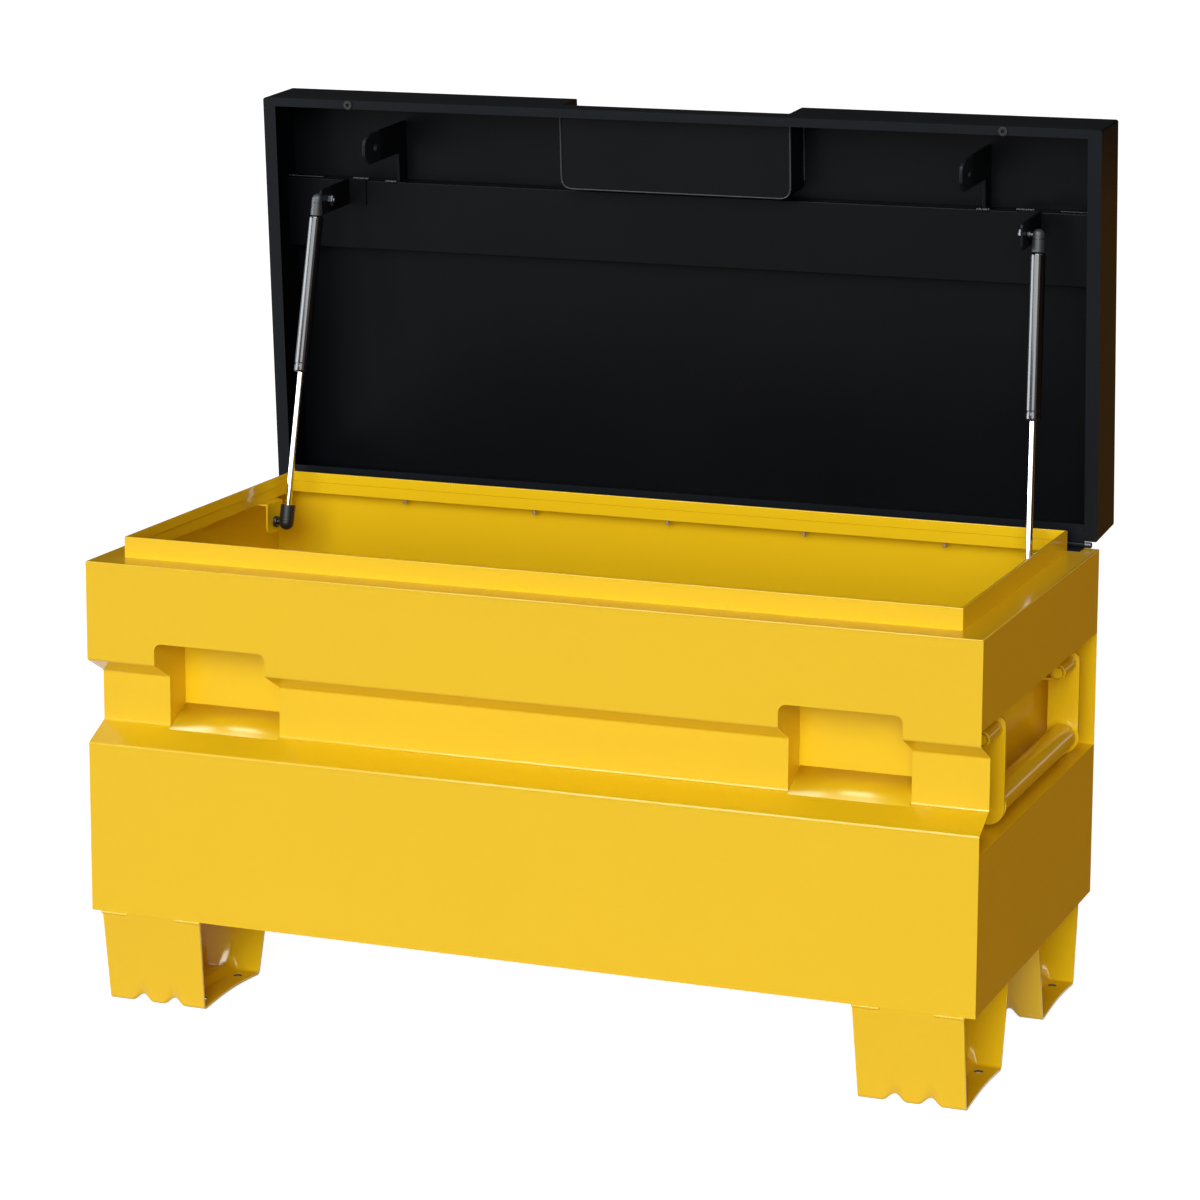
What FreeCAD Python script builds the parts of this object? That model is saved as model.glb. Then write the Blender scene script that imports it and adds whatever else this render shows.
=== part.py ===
"""Steel storage box for a work site: a sheet metal body on four channel feet, with a hinged lid.

The body has a waist along its front, two recessed padlock pockets, a raised coaming round its
mouth and a drop handle in each side recess. The lid turns on a long pin hinge at the rear edge,
is held open by two gas struts and carries two lock tabs that drop into the padlock pockets.

Frame: X to the right, Y to the rear, Z up, millimetres. The origin lies on the ground under the
middle of the body. The lid is stored open, as it stands when the struts are fully out.
"""
import FreeCAD
import Part
import os
import re
import Sketcher
from FreeCAD import Placement, Rotation, Vector

# Driving dimensions: name, value in millimetres (angles in degrees, counts plain), meaning
SIZES = (
    ("body_width", 1067.0, "body, outside width"),
    ("body_depth", 506.0, "body, outside depth"),
    ("body_height", 416.5, "body, underside to top of ledge"),
    ("body_sheet", 1.5, "body, sheet thickness"),
    ("lower_band_drop", 214.5, "front, ledge down to start of lower slope"),
    ("waist_foot_drop", 195.9, "front, ledge down to foot of waist face"),
    ("waist_head_drop", 137.0, "front, ledge down to head of waist face"),
    ("upper_band_drop", 116.5, "front, ledge down to foot of upper band"),
    ("waist_depth", 38.0, "front, depth of waist face"),
    ("recess_foot_drop", 235.5, "side, ledge down to floor of handle recess"),
    ("recess_head_drop", 100.0, "side, ledge down to roof of handle recess"),
    ("recess_depth", 48.0, "side, depth of handle recess"),
    ("floor_flange", 20.0, "floor pan, height of upturned edge"),
    ("ledge_front", 35.0, "ledge, width at the front"),
    ("ledge_side", 32.5, "ledge, width at the sides"),
    ("ledge_rear", 25.5, "ledge, width at the rear"),
    ("coaming_height", 24.5, "coaming, height over the ledge"),
    ("rim_sheet", 1.5, "ledge and coaming, sheet thickness"),
    ("hem_height", 12.0, "coaming, height of folded hem"),
    ("pocket_set", 156.7, "padlock pocket, middle from side of body"),
    ("pocket_width", 140.0, "padlock pocket, clear width"),
    ("pocket_depth", 77.0, "padlock pocket, front of body to back wall"),
    ("pocket_head_drop", 90.5, "padlock pocket, ledge down to top of mouth"),
    ("pocket_corner", 9.0, "padlock pocket, radius of upper mouth corners"),
    ("pocket_sheet", 1.5, "padlock pocket, sheet thickness"),
    ("chamber_drop", 80.5, "padlock pocket, ledge down to where it widens"),
    ("chamber_rise", 14.0, "padlock pocket, height of the widening"),
    ("chamber_gain", 22.0, "padlock pocket, extra depth over the widening"),
    ("slot_play", 4.0, "lock slot, play before and behind the tab"),
    ("slot_side_play", 2.0, "lock slot, play at each side of the tab"),
    ("staple_gauge", 4.0, "lock staple, plate thickness"),
    ("staple_drop", 24.0, "lock staple, depth below pocket roof"),
    ("foot_height", 112.0, "foot, height"),
    ("foot_width", 126.0, "foot, width along the front"),
    ("foot_inset", 13.0, "foot, distance from side of body"),
    ("foot_setback", 1.0, "foot, distance from front or rear of body"),
    ("foot_length", 191.0, "foot, depth at its head"),
    ("foot_outer_lean", 17.0, "foot, how far the outer wall leans in"),
    ("foot_inner_lean", 29.0, "foot, how far the inner wall leans in"),
    ("foot_sheet", 3.0, "foot, sheet thickness"),
    ("foot_bend", 5.0, "foot, outside radius of the lower bends"),
    ("rib_place", 42.0, "foot, pressed rib from the nearer open end"),
    ("rib_width", 24.0, "foot, width of pressed rib under the sole"),
    ("rib_crest", 9.0, "foot, width of the rib's crest"),
    ("rib_height", 7.0, "foot, height of the rib under the sole"),
    ("rib_reach", 33.0, "foot, height up the walls where the rib runs out"),
    ("rib_wall_width", 12.0, "foot, width of the rib in the walls"),
    ("caster_hole", 11.0, "foot, hole diameter"),
    ("caster_edge", 19.0, "foot, hole centre to open end"),
    ("caster_spacing", 90.0, "foot, hole spacing front to rear"),
    ("hinge_set", 17.5, "hinge, end from side of body"),
    ("hinge_rise", 3.5, "hinge, pin axis over the ledge"),
    ("hinge_pin", 3.2, "hinge, pin diameter"),
    ("hinge_barrel", 6.4, "hinge, knuckle outside diameter"),
    ("hinge_leaf", 25.0, "hinge, leaf width from the pin axis"),
    ("leaf_gauge", 1.1, "hinge, leaf thickness"),
    ("knuckle_count", 21, "hinge, number of knuckles of both leaves"),
    ("knuckle_gap", 0.4, "hinge, gap between two knuckles"),
    ("pin_play", 0.05, "hinge, radial play of the pin"),
    ("stud_pitch", 175.0, "hinge, distance between fixing studs"),
    ("stud_count", 5, "hinge, number of fixing studs"),
    ("stud_set", 15.0, "hinge, fixing studs from the pin axis"),
    ("stud_shank", 5.0, "hinge, fixing stud diameter"),
    ("stud_head", 8.0, "hinge, fixing stud head diameter"),
    ("stud_drop", 8.0, "hinge, fixing stud below the ledge"),
    ("lid_opening", 86.1, "lid, angle from closed to open, degrees"),
    ("lid_side_set", 2.2, "lid, side face inside the side of the body"),
    ("lid_front_set", 13.5, "lid, front face behind the front of the body when closed"),
    ("lid_setback", 4.4, "lid, rear face before the pin axis"),
    ("lid_height", 82.8, "lid, rim plane to top of skin"),
    ("lid_drop", 1.0, "lid, rim plane below the pin axis when closed"),
    ("lid_sheet", 1.5, "lid, sheet thickness"),
    ("lid_corner", 3.0, "lid, radius of outer edges"),
    ("flange_front", 10.5, "lid, in-turned flange at the front"),
    ("flange_side", 16.0, "lid, in-turned flange at the sides"),
    ("flange_rear", 20.0, "lid, in-turned flange at the rear"),
    ("notch_width", 293.4, "lid notch, width over its tray"),
    ("notch_length", 102.5, "lid notch, depth from the front"),
    ("notch_floor", 30.0, "lid notch, tray face over the rim plane"),
    ("notch_corner", 12.0, "lid notch, radius of tray corners"),
    ("stiffener_set", 109.5, "stiffener, front edge behind the lid's front face"),
    ("stiffener_width", 87.0, "stiffener, width"),
    ("stiffener_depth", 24.3, "stiffener, depth from the skin"),
    ("tab_gauge", 4.0, "lock tab, plate thickness"),
    ("tab_set", 49.0, "lock tab, front edge behind the front of the body when closed"),
    ("tab_width", 37.5, "lock tab, width of the blade"),
    ("tab_drop", 44.0, "lock tab, tip below the pin axis"),
    ("tab_bevel_drop", 17.5, "lock tab, height of the bevel at the front"),
    ("tab_bevel", 12.0, "lock tab, width of the bevels"),
    ("tab_nose", 3.0, "lock tab, height of the bevel's lower half at the front"),
    ("tab_hole", 10.0, "lock tab, padlock hole diameter"),
    ("tab_hole_set", 19.0, "lock tab, hole behind the front edge"),
    ("tab_hole_drop", 14.0, "lock tab, hole below the pin axis"),
    ("bumper_width", 11.0, "bumper, diameter"),
    ("bumper_bore", 4.0, "bumper, hole diameter"),
    ("bumper_rise", 2.3, "bumper, thickness"),
    ("bumper_set", 116.0, "bumper, centre from side of lid"),
    ("bumper_edge", 5.6, "bumper, centre from front face of lid"),
    ("bracket_gauge", 2.5, "strut bracket, plate thickness"),
    ("upper_bracket_set", 85.3, "upper strut bracket, outer face from side of lid"),
    ("upper_bracket_foot", 25.0, "upper strut bracket, width of its foot"),
    ("upper_bracket_place", 30.0, "upper strut bracket, near edge behind the stiffener's front edge"),
    ("upper_bracket_width", 32.0, "upper strut bracket, width"),
    ("upper_bracket_drop", 28.0, "upper strut bracket, tip below the pin axis"),
    ("upper_ball_stand", 13.2, "strut, upper ball from its bracket's outer face"),
    ("upper_ball_place", 15.0, "strut, upper ball from its bracket's near edge"),
    ("upper_ball_drop", 5.4, "strut, upper ball below the pin axis"),
    ("lower_ball_stand", 15.5, "strut, lower ball from its bracket's inner face"),
    ("lower_ball_set", 99.0, "strut, lower ball before the pin axis"),
    ("lower_ball_drop", 26.5, "strut, lower ball below the ledge"),
    ("lower_bracket_set", 44.0, "lower strut bracket, inner face from side of body"),
    ("lower_bracket_width", 42.0, "lower strut bracket, width"),
    ("lower_bracket_drop", 39.0, "lower strut bracket, height below the ledge"),
    ("lower_bracket_flange", 34.0, "lower strut bracket, width of its flange"),
    ("lower_bracket_corner", 11.0, "lower strut bracket, corner radius"),
    ("ball_width", 10.0, "ball stud, ball diameter"),
    ("ball_play", 0.4, "ball stud, play round the ball"),
    ("ball_neck", 6.0, "ball stud, neck diameter"),
    ("ball_collar", 14.0, "ball stud, collar diameter"),
    ("collar_gauge", 4.0, "ball stud, collar thickness"),
    ("stud_thread", 8.0, "ball stud, thread diameter"),
    ("thread_end", 1.5, "ball stud, thread beyond the nut"),
    ("neck_play", 1.4, "ball stud, play of the socket's mouth round the neck"),
    ("upper_collar", 10.0, "ball stud, collar diameter at the lid"),
    ("bracket_corner", 6.0, "upper strut bracket, corner radius"),
    ("nut_width", 13.0, "nut, width across flats"),
    ("nut_gauge", 6.5, "nut, thickness"),
    ("pivot_gap", 0.4, "strut, gap between upper stud and bracket"),
    ("rod_width", 8.0, "strut, rod diameter"),
    ("rod_play", 0.05, "strut, play of rod and piston"),
    ("rod_hold", 12.0, "strut, rod end from lower ball"),
    ("rod_exposed", 187.8, "strut, lower ball to cylinder when open"),
    ("piston_set", 24.0, "strut, piston from cylinder end when open"),
    ("piston_gauge", 10.0, "strut, piston length"),
    ("tube_width", 18.0, "strut, cylinder outside diameter"),
    ("tube_wall", 1.5, "strut, cylinder wall"),
    ("tube_cap", 12.0, "strut, length of cylinder end walls"),
    ("upper_socket_length", 20.0, "strut, upper ball to cylinder"),
    ("lower_socket_width", 18.0, "strut, lower socket width"),
    ("lower_socket_neck", 22.0, "strut, lower ball to end of socket"),
    ("upper_socket_width", 15.0, "strut, upper socket width"),
    ("handle_pin", 14.0, "handle, pivot pin diameter"),
    ("handle_pin_inset", 16.1, "handle, pivot axis from side of body"),
    ("handle_pin_drop", 123.5, "handle, ledge down to the pivot axis"),
    ("handle_pin_head", 16.6, "handle, pin head diameter"),
    ("handle_pin_head_gauge", 2.0, "handle, pin head thickness"),
    ("handle_play", 0.05, "handle, radial play of the pin"),
    ("handle_side_play", 0.4, "handle, gap between loop and arm"),
    ("loop_gauge", 2.2, "handle loop, strap thickness"),
    ("loop_length", 51.6, "handle loop, length along the pin"),
    ("handle_front_set", 21.5, "handle, front loop behind the waist face"),
    ("handle_rear_set", 63.5, "handle, rear arm before the rear of the body"),
    ("arm_gauge", 5.0, "handle arm, plate thickness"),
    ("arm_inner", 24.4, "handle arm, pivot to inner edge"),
    ("arm_outer", 12.6, "handle arm, pivot to outer edge"),
    ("arm_head", 14.0, "handle arm, pivot to top"),
    ("arm_drop", 109.0, "handle arm, pivot to bottom"),
    ("arm_head_corner", 11.0, "handle arm, radius of upper corners"),
    ("arm_foot_corner", 19.0, "handle arm, radius of lower outer corner"),
    ("grip_width", 32.0, "grip, outside diameter"),
    ("grip_wall", 2.0, "grip, tube wall"),
    ("grip_inset", 5.4, "grip, axis towards the body from the pivot"),
    ("grip_drop", 88.0, "grip, axis below the pivot"),
    ("overrun", 5.0, "how far a cutting tool passes the material"),
)

# Worked out places, as formulas of the driving dimensions
PLACES = (
    ("side", "body_width / 2", "outer face of the side"),
    ("front", "body_depth / 2", "outer face of front and rear"),
    ("underside", "foot_height", "underside of the body"),
    ("ledge_top", "foot_height + body_height", "top of the ledge"),
    ("wall_top", "ledge_top - rim_sheet", "top edge of the body walls"),
    ("recess_face", "side - recess_depth", "back wall of the handle recess"),
    ("recess_floor", "ledge_top - recess_foot_drop", "floor of the handle recess"),
    ("recess_roof", "ledge_top - recess_head_drop", "roof of the handle recess"),
    ("low_slope_start", "ledge_top - lower_band_drop", ""),
    ("low_slope_end", "ledge_top - waist_foot_drop", ""),
    ("high_slope_start", "ledge_top - waist_head_drop", ""),
    ("high_slope_end", "ledge_top - upper_band_drop", ""),
    ("low_rise", "lower_band_drop - waist_foot_drop", ""),
    ("high_rise", "waist_head_drop - upper_band_drop", ""),
    ("low_fold", "body_sheet * (sqrt(waist_depth^2 + low_rise^2) - low_rise) / waist_depth", ""),
    ("high_fold", "body_sheet * (sqrt(waist_depth^2 + high_rise^2) - high_rise) / waist_depth", ""),
    ("waist_face", "front - waist_depth", "front face of the waist, before the middle"),
    ("coaming_side", "side - ledge_side", "outer face of the coaming"),
    ("coaming_front", "front - ledge_front", ""),
    ("coaming_rear", "front - ledge_rear", ""),
    ("coaming_top", "ledge_top + coaming_height", ""),
    ("pocket_centre", "side - pocket_set", "padlock pocket, from middle of body"),
    ("pocket_head", "ledge_top - pocket_head_drop", "top of the pocket's mouth"),
    ("chamber_foot", "ledge_top - chamber_drop", "where the pocket widens"),
    ("pocket_back", "front - pocket_depth", "back wall of the pocket, before the middle"),
    ("pocket_back_foot", "low_slope_start + pocket_depth * low_rise / waist_depth", ""),
    ("chamber_back", "pocket_back - chamber_gain", ""),
    ("hinge_y", "front", "pin axis"),
    ("hinge_z", "ledge_top + hinge_rise", "pin axis"),
    ("hinge_length", "body_width - 2 * hinge_set", ""),
    ("knuckle_pitch", "hinge_length / knuckle_count", ""),
    ("lid_front", "body_depth - lid_front_set", "front face of the lid from the pin axis"),
    ("lid_top", "lid_height - lid_drop", "top of the lid over the pin axis"),
    ("lid_ceiling", "lid_top - lid_sheet", "underside of the lid's skin"),
    ("lid_side", "side - lid_side_set", ""),
    ("tray_face", "notch_floor - lid_drop", ""),
    ("tray_side", "notch_width / 2", ""),
    ("tray_back", "lid_front - notch_length", ""),
    ("stiffener_face", "lid_ceiling - stiffener_depth", ""),
    ("stiffener_far", "lid_front - stiffener_set", "front edge of the stiffener from the pin axis"),
    ("stiffener_near", "stiffener_far - stiffener_width", ""),
    ("tab_reach", "body_depth - tab_set", "front edge of the lock tab from the pin axis"),
    ("tab_hole_reach", "tab_reach - tab_hole_set", ""),
    ("bumper_centre", "lid_side - bumper_set", ""),
    ("upper_bracket_face", "lid_side - upper_bracket_set", ""),
    ("upper_bracket_near", "stiffener_far - upper_bracket_place", ""),
    ("upper_ball_side", "upper_bracket_face + upper_ball_stand", ""),
    ("upper_ball_reach", "upper_bracket_near + upper_ball_place", "upper ball from the pin axis"),
    ("lower_bracket_face", "side - lower_bracket_set", ""),
    ("lower_ball_side", "lower_bracket_face - lower_ball_stand", ""),
    ("slot_half", "tab_gauge / 2 + slot_side_play", ""),
    ("foot_side", "side - foot_inset", "outer open end of a foot"),
    ("foot_head_outer", "front - foot_setback", ""),
    ("foot_head_inner", "foot_head_outer - foot_length", ""),
    ("foot_sole_outer", "foot_head_outer - foot_outer_lean", ""),
    ("foot_sole_inner", "foot_head_inner + foot_inner_lean", ""),
    ("foot_sole_middle", "(foot_sole_outer + foot_sole_inner) / 2", ""),
    ("outer_slope", "foot_outer_lean / foot_height", "lean of a foot's outer wall"),
    ("inner_slope", "foot_inner_lean / foot_height", "lean of a foot's inner wall"),
    ("rib_slope", "(rib_width - rib_crest) / 2 / rib_height", "run of the rib's flank for each rise"),
    ("rib_wall", "foot_sheet * sqrt(1 + rib_slope^2)", "sheet measured level through the rib's flank"),
    ("open_ball_y", "-upper_ball_reach * cos(lid_opening) - upper_ball_drop * sin(lid_opening)",
     "upper ball from the pin axis, lid open"),
    ("open_ball_z", "upper_ball_reach * sin(lid_opening) - upper_ball_drop * cos(lid_opening)", ""),
    ("strut_length", "sqrt((lower_ball_side - upper_ball_side)^2 + (open_ball_y + lower_ball_set)^2"
     " + (open_ball_z + lower_ball_drop + hinge_rise)^2)", "ball to ball, lid open"),
    ("handle_x", "side - handle_pin_inset", "pivot of the right handle"),
    ("handle_z", "ledge_top - handle_pin_drop", "pivot of the handles"),
    ("handle_start", "-waist_face + handle_front_set", "front end of the front loop"),
    ("front_arm_y", "handle_start + loop_length + handle_side_play", "front face of the front arm"),
    ("rear_arm_y", "front - handle_rear_set - arm_gauge", "front face of the rear arm"),
)

doc = FreeCAD.newDocument("StorageBox")


def fill_sheet(name, rows, write):
    """One spreadsheet with a note, a value and the value's own name in each row."""
    sheet = doc.addObject("Spreadsheet::Sheet", name)
    for place, (alias, content, note) in enumerate(rows):
        row = place + 1
        sheet.set(f"A{row}", note or alias.replace("_", " "))
        sheet.set(f"B{row}", write(content))
        sheet.setAlias(f"B{row}", alias)
    return sheet


OWNERS = {alias: "Sizes" for alias, content, note in SIZES}
OWNERS.update({alias: "Places" for alias, content, note in PLACES})


def bound(formula):
    """The formula with each name led back to the sheet that holds it."""
    def with_owner(found):
        word = found.group()
        return f"{OWNERS[word]}.{word}" if word in OWNERS else word
    return re.sub(r"[a-z]\w*", with_owner, str(formula))


def within_places(formula):
    """A formula for a cell of the second sheet, which names its own cells plainly."""
    return "=" + bound(formula).replace("Places.", "")


sizes = fill_sheet("Sizes", SIZES, str)
places = fill_sheet("Places", PLACES, within_places)
doc.recompute()


def number(formula):
    """The formula's present value."""
    return float(sizes.evalExpression(bound(formula)))


NODES = {}

# How each plane's sketch lies: the formula's axis names, and whether its normal points down the axis
PLANES = {"X": ("YZ_Plane", False), "Y": ("XZ_Plane", True), "Z": ("XY_Plane", False)}


class Piece:
    """A sub-part that is made from sketches, pads and pockets in a body of its own."""

    def __init__(self, label, kept=True):
        self.body = doc.addObject("PartDesign::Body", label)
        self.body.Label = label
        if kept:
            NODES[label] = self.body

    def sketch(self, axis, start, outlines):
        """A sketch square to the axis, at the place given by start, with closed outlines."""
        role, faces_down = PLANES[axis]
        drawing = self.body.newObject("Sketcher::SketchObject", "Outline")
        plane = [entry for entry in self.body.Origin.OriginFeatures if entry.Role == role][0]
        drawing.AttachmentSupport = [(plane, "")]
        drawing.MapMode = "FlatFace"
        turned = f"-({start})" if faces_down else start
        drawing.setExpression("AttachmentOffset.Base.z", bound(turned))
        for outline in outlines:
            if isinstance(outline, Circle):
                draw_circle(drawing, outline)
            else:
                draw_outline(drawing, outline)
        return drawing

    def pad(self, axis, start, length, *outlines):
        """Material from start, over length, along the axis."""
        drawing = self.sketch(axis, start, outlines)
        feature = self.body.newObject("PartDesign::Pad", "Pad")
        feature.Profile = drawing
        feature.Reversed = PLANES[axis][1]
        feature.setExpression("Length", bound(length))
        return feature

    def pocket(self, axis, start, length, *outlines):
        """A cut from start, over length, along the axis."""
        drawing = self.sketch(axis, start, outlines)
        feature = self.body.newObject("PartDesign::Pocket", "Pocket")
        feature.Profile = drawing
        feature.Reversed = not PLANES[axis][1]
        feature.setExpression("Length", bound(length))
        return feature

    def repeat(self, feature, count, length):
        """Copies of the feature in a row along X."""
        row = self.body.newObject("PartDesign::LinearPattern", "Row")
        along = [entry for entry in self.body.Origin.OriginFeatures if entry.Role == "X_Axis"][0]
        row.Originals = [feature]
        row.Direction = (along, [""])
        row.setExpression("Length", bound(length))
        row.setExpression("Occurrences", bound(count))
        self.body.Tip = row
        return row

    def soften(self, radius, axis, *corners):
        """A rounding along the straight edges that run along the axis through the corners."""
        doc.recompute()
        base = self.body.Tip
        names = edges_through(base.Shape, axis, corners)
        rounding = self.body.newObject("PartDesign::Fillet", "Rounding")
        rounding.Base = (base, names)
        rounding.setExpression("Radius", bound(radius))
        return rounding


class Circle:
    """A round outline, with the formulas of its centre and radius."""

    def __init__(self, across, upward, radius):
        self.across = across
        self.upward = upward
        self.radius = radius


def draw_outline(drawing, corners):
    """Straight edges through the corners, each corner tied to its two formulas."""
    points = [Vector(number(across), number(upward), 0) for across, upward in corners]
    first = drawing.GeometryCount
    count = len(points)
    for place, point in enumerate(points):
        following = points[(place + 1) % count]
        drawing.addGeometry(Part.LineSegment(point, following), False)
    for place in range(count):
        line = first + place
        following = first + (place + 1) % count
        drawing.addConstraint(Sketcher.Constraint("Coincident", line, 2, following, 1))
    for place, formulas in enumerate(corners):
        for kind, formula in zip(("DistanceX", "DistanceY"), formulas):
            tie = Sketcher.Constraint(kind, -1, 1, first + place, 1, number(formula))
            index = drawing.addConstraint(tie)
            drawing.setExpression(f"Constraints[{index}]", bound(formula))


def draw_circle(drawing, circle):
    """A circle tied to the formulas of its centre and radius."""
    centre = Vector(number(circle.across), number(circle.upward), 0)
    shape = Part.Circle(centre, Vector(0, 0, 1), number(circle.radius))
    ring = drawing.addGeometry(shape, False)
    for kind, formula in (("DistanceX", circle.across), ("DistanceY", circle.upward)):
        tie = Sketcher.Constraint(kind, -1, 1, ring, 3, number(formula))
        index = drawing.addConstraint(tie)
        drawing.setExpression(f"Constraints[{index}]", bound(formula))
    index = drawing.addConstraint(Sketcher.Constraint("Radius", ring, number(circle.radius)))
    drawing.setExpression(f"Constraints[{index}]", bound(circle.radius))


def rectangle(left, right, low, high):
    """Corner formulas of a rectangle."""
    return ((left, low), (right, low), (right, high), (left, high))


def edges_through(shape, axis, corners):
    """Names of the straight edges along the axis that pass through the corners."""
    along = "XYZ".index(axis)
    across = [place for place in range(3) if place != along]
    wanted = [tuple(number(formula) for formula in corner) for corner in corners]
    names = []
    for place, edge in enumerate(shape.Edges):
        ends = [vertex.Point for vertex in edge.Vertexes]
        if len(ends) != 2:
            continue
        for corner in wanted:
            reach = [abs(end[row] - aim) for end in ends for row, aim in zip(across, corner)]
            if max(reach) < EDGE_TOLERANCE:
                names.append(f"Edge{place + 1}")
    return names


EDGE_TOLERANCE = 0.01


def mirrored(label, piece, normal):
    """The same piece on the other side of the body."""
    copy = doc.addObject("Part::Mirroring", label)
    copy.Source = getattr(piece, "body", piece)
    copy.Normal = normal
    copy.Label = label
    NODES[label] = copy
    return copy


ACROSS = Vector(1, 0, 0)
LENGTHWISE = Vector(0, 1, 0)
TURNS = {"X": Rotation(LENGTHWISE, 90), "Y": Rotation(ACROSS, -90), "Z": Rotation()}


def cylinder(axis, start, radius, length):
    """A round bar from the start point, along the axis."""
    bar = doc.addObject("Part::Cylinder", "Bar")
    bar.Placement = Placement(Vector(), TURNS[axis])
    bar.setExpression("Radius", bound(radius))
    bar.setExpression("Height", bound(length))
    for row, formula in zip("xyz", start):
        bar.setExpression(f"Placement.Base.{row}", bound(formula))
    return bar


def ball(centre, radius, pole="Z"):
    """A ball round the centre, with its poles on the axis."""
    solid = doc.addObject("Part::Sphere", "Ball")
    solid.Placement = Placement(Vector(), TURNS[pole])
    solid.setExpression("Radius", bound(radius))
    for row, formula in zip("xyz", centre):
        solid.setExpression(f"Placement.Base.{row}", bound(formula))
    return solid


def hexagon(axis, start, width, length):
    """A six-sided bar from the start point, along the axis, with its width across flats."""
    bar = doc.addObject("Part::Prism", "Hexagon")
    bar.Polygon = 6
    bar.Placement = Placement(Vector(), TURNS[axis])
    bar.setExpression("Circumradius", bound(f"({width}) / sqrt(3)"))
    bar.setExpression("Height", bound(length))
    for row, formula in zip("xyz", start):
        bar.setExpression(f"Placement.Base.{row}", bound(formula))
    return bar


def fused(label, *solids):
    """The solids joined into one piece."""
    whole = doc.addObject("Part::MultiFuse", label)
    whole.Shapes = list(solids)
    whole.Label = label
    NODES[label] = whole
    return whole


def grouped(label, *solids):
    """Separate solids kept together as one group of like pieces."""
    whole = doc.addObject("Part::Compound", label)
    whole.Links = list(solids)
    whole.Label = label
    NODES[label] = whole
    return whole


def less(label, base, *tools):
    """The base with the tools cut out of it."""
    rest = doc.addObject("Part::Cut", label)
    rest.Base = base
    rest.Tool = tools[0]
    if len(tools) > 1:
        rest.Tool = doc.addObject("Part::MultiFuse", "Cutter")
        rest.Tool.Shapes = list(tools)
    rest.Label = label
    NODES[label] = rest
    return rest


# Front panel: one sheet folded into a lower band, a waist and an upper band
front_panel = Piece("front_panel")
front_panel.pad("X", "-side", "body_width", (
    ("-front", "underside"), ("-front", "low_slope_start"), ("-waist_face", "low_slope_end"),
    ("-waist_face", "high_slope_start"), ("-front", "high_slope_end"), ("-front", "wall_top"),
    ("-front + body_sheet", "wall_top"), ("-front + body_sheet", "high_slope_end + high_fold"),
    ("-waist_face + body_sheet", "high_slope_start + high_fold"),
    ("-waist_face + body_sheet", "low_slope_end - low_fold"),
    ("-front + body_sheet", "low_slope_start - low_fold"), ("-front + body_sheet", "underside")))
mouth_corners = []
for hand in ("-", ""):
    near = f"{hand}pocket_centre - pocket_width / 2"
    far = f"{hand}pocket_centre + pocket_width / 2"
    front_panel.pocket("Y", "-front - overrun", "waist_depth + body_sheet + 2 * overrun",
                       rectangle(near, far, "low_slope_end", "pocket_head"))
    mouth_corners += [(near, "pocket_head"), (far, "pocket_head")]
front_panel.soften("pocket_corner", "Y", *mouth_corners)

# Rear panel: a flat sheet
rear_panel = Piece("rear_panel")
rear_panel.pad("Y", "front - body_sheet", "body_sheet",
               rectangle("-side", "side", "underside", "wall_top"))

# Side panels: a sheet each, folded inwards to make the handle recess
right_side = Piece("right_side_panel")
right_side.pad("Y", "-front + body_sheet", "body_depth - 2 * body_sheet", (
    ("side", "underside"), ("side", "recess_floor"),
    ("recess_face", "recess_floor"), ("recess_face", "recess_roof"),
    ("side", "recess_roof"), ("side", "wall_top"), ("side - body_sheet", "wall_top"),
    ("side - body_sheet", "recess_roof + body_sheet"),
    ("recess_face - body_sheet", "recess_roof + body_sheet"),
    ("recess_face - body_sheet", "recess_floor - body_sheet"),
    ("side - body_sheet", "recess_floor - body_sheet"),
    ("side - body_sheet", "underside")))
right_side.pocket("X", "recess_face - body_sheet - overrun", "recess_depth + 3 * overrun", (
    ("-front", "low_slope_start - low_fold"), ("-front + body_sheet", "low_slope_start - low_fold"),
    ("-waist_face + body_sheet", "low_slope_end - low_fold"),
    ("-waist_face + body_sheet", "high_slope_start + high_fold"),
    ("-front + body_sheet", "high_slope_end + high_fold"), ("-front", "high_slope_end + high_fold")))
mirrored("left_side_panel", right_side, ACROSS)

# Floor pan: a flat sheet with its edges turned up inside the walls
floor_panel = Piece("floor_panel")
floor_panel.pad("Z", "underside", "floor_flange", rectangle(
    "-side + body_sheet", "side - body_sheet", "-front + body_sheet", "front - body_sheet"))
floor_panel.pocket("Z", "underside + body_sheet", "floor_flange", rectangle(
    "-side + 2 * body_sheet", "side - 2 * body_sheet",
    "-front + 2 * body_sheet", "front - 2 * body_sheet"))

# Rim: the ledge that closes the top of the walls, and the coaming with its folded hem inside it
rim_ledge = Piece("rim_ledge")
rim_ledge.pad("Z", "wall_top", "rim_sheet", rectangle("-side", "side", "-front", "front"), rectangle(
    "-coaming_side", "coaming_side", "-coaming_front", "coaming_rear"))
rim_coaming = Piece("rim_coaming")
rim_coaming.pad("Z", "wall_top", "rim_sheet + coaming_height", rectangle(
    "-coaming_side", "coaming_side", "-coaming_front", "coaming_rear"), rectangle(
    "-coaming_side + rim_sheet", "coaming_side - rim_sheet",
    "-coaming_front + rim_sheet", "coaming_rear - rim_sheet"))
rim_coaming.pad("Z", "coaming_top - hem_height", "hem_height", rectangle(
    "-coaming_side", "coaming_side", "-coaming_front", "coaming_rear"), rectangle(
    "-coaming_side + 2 * rim_sheet", "coaming_side - 2 * rim_sheet",
    "-coaming_front + 2 * rim_sheet", "coaming_rear - 2 * rim_sheet"))

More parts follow.
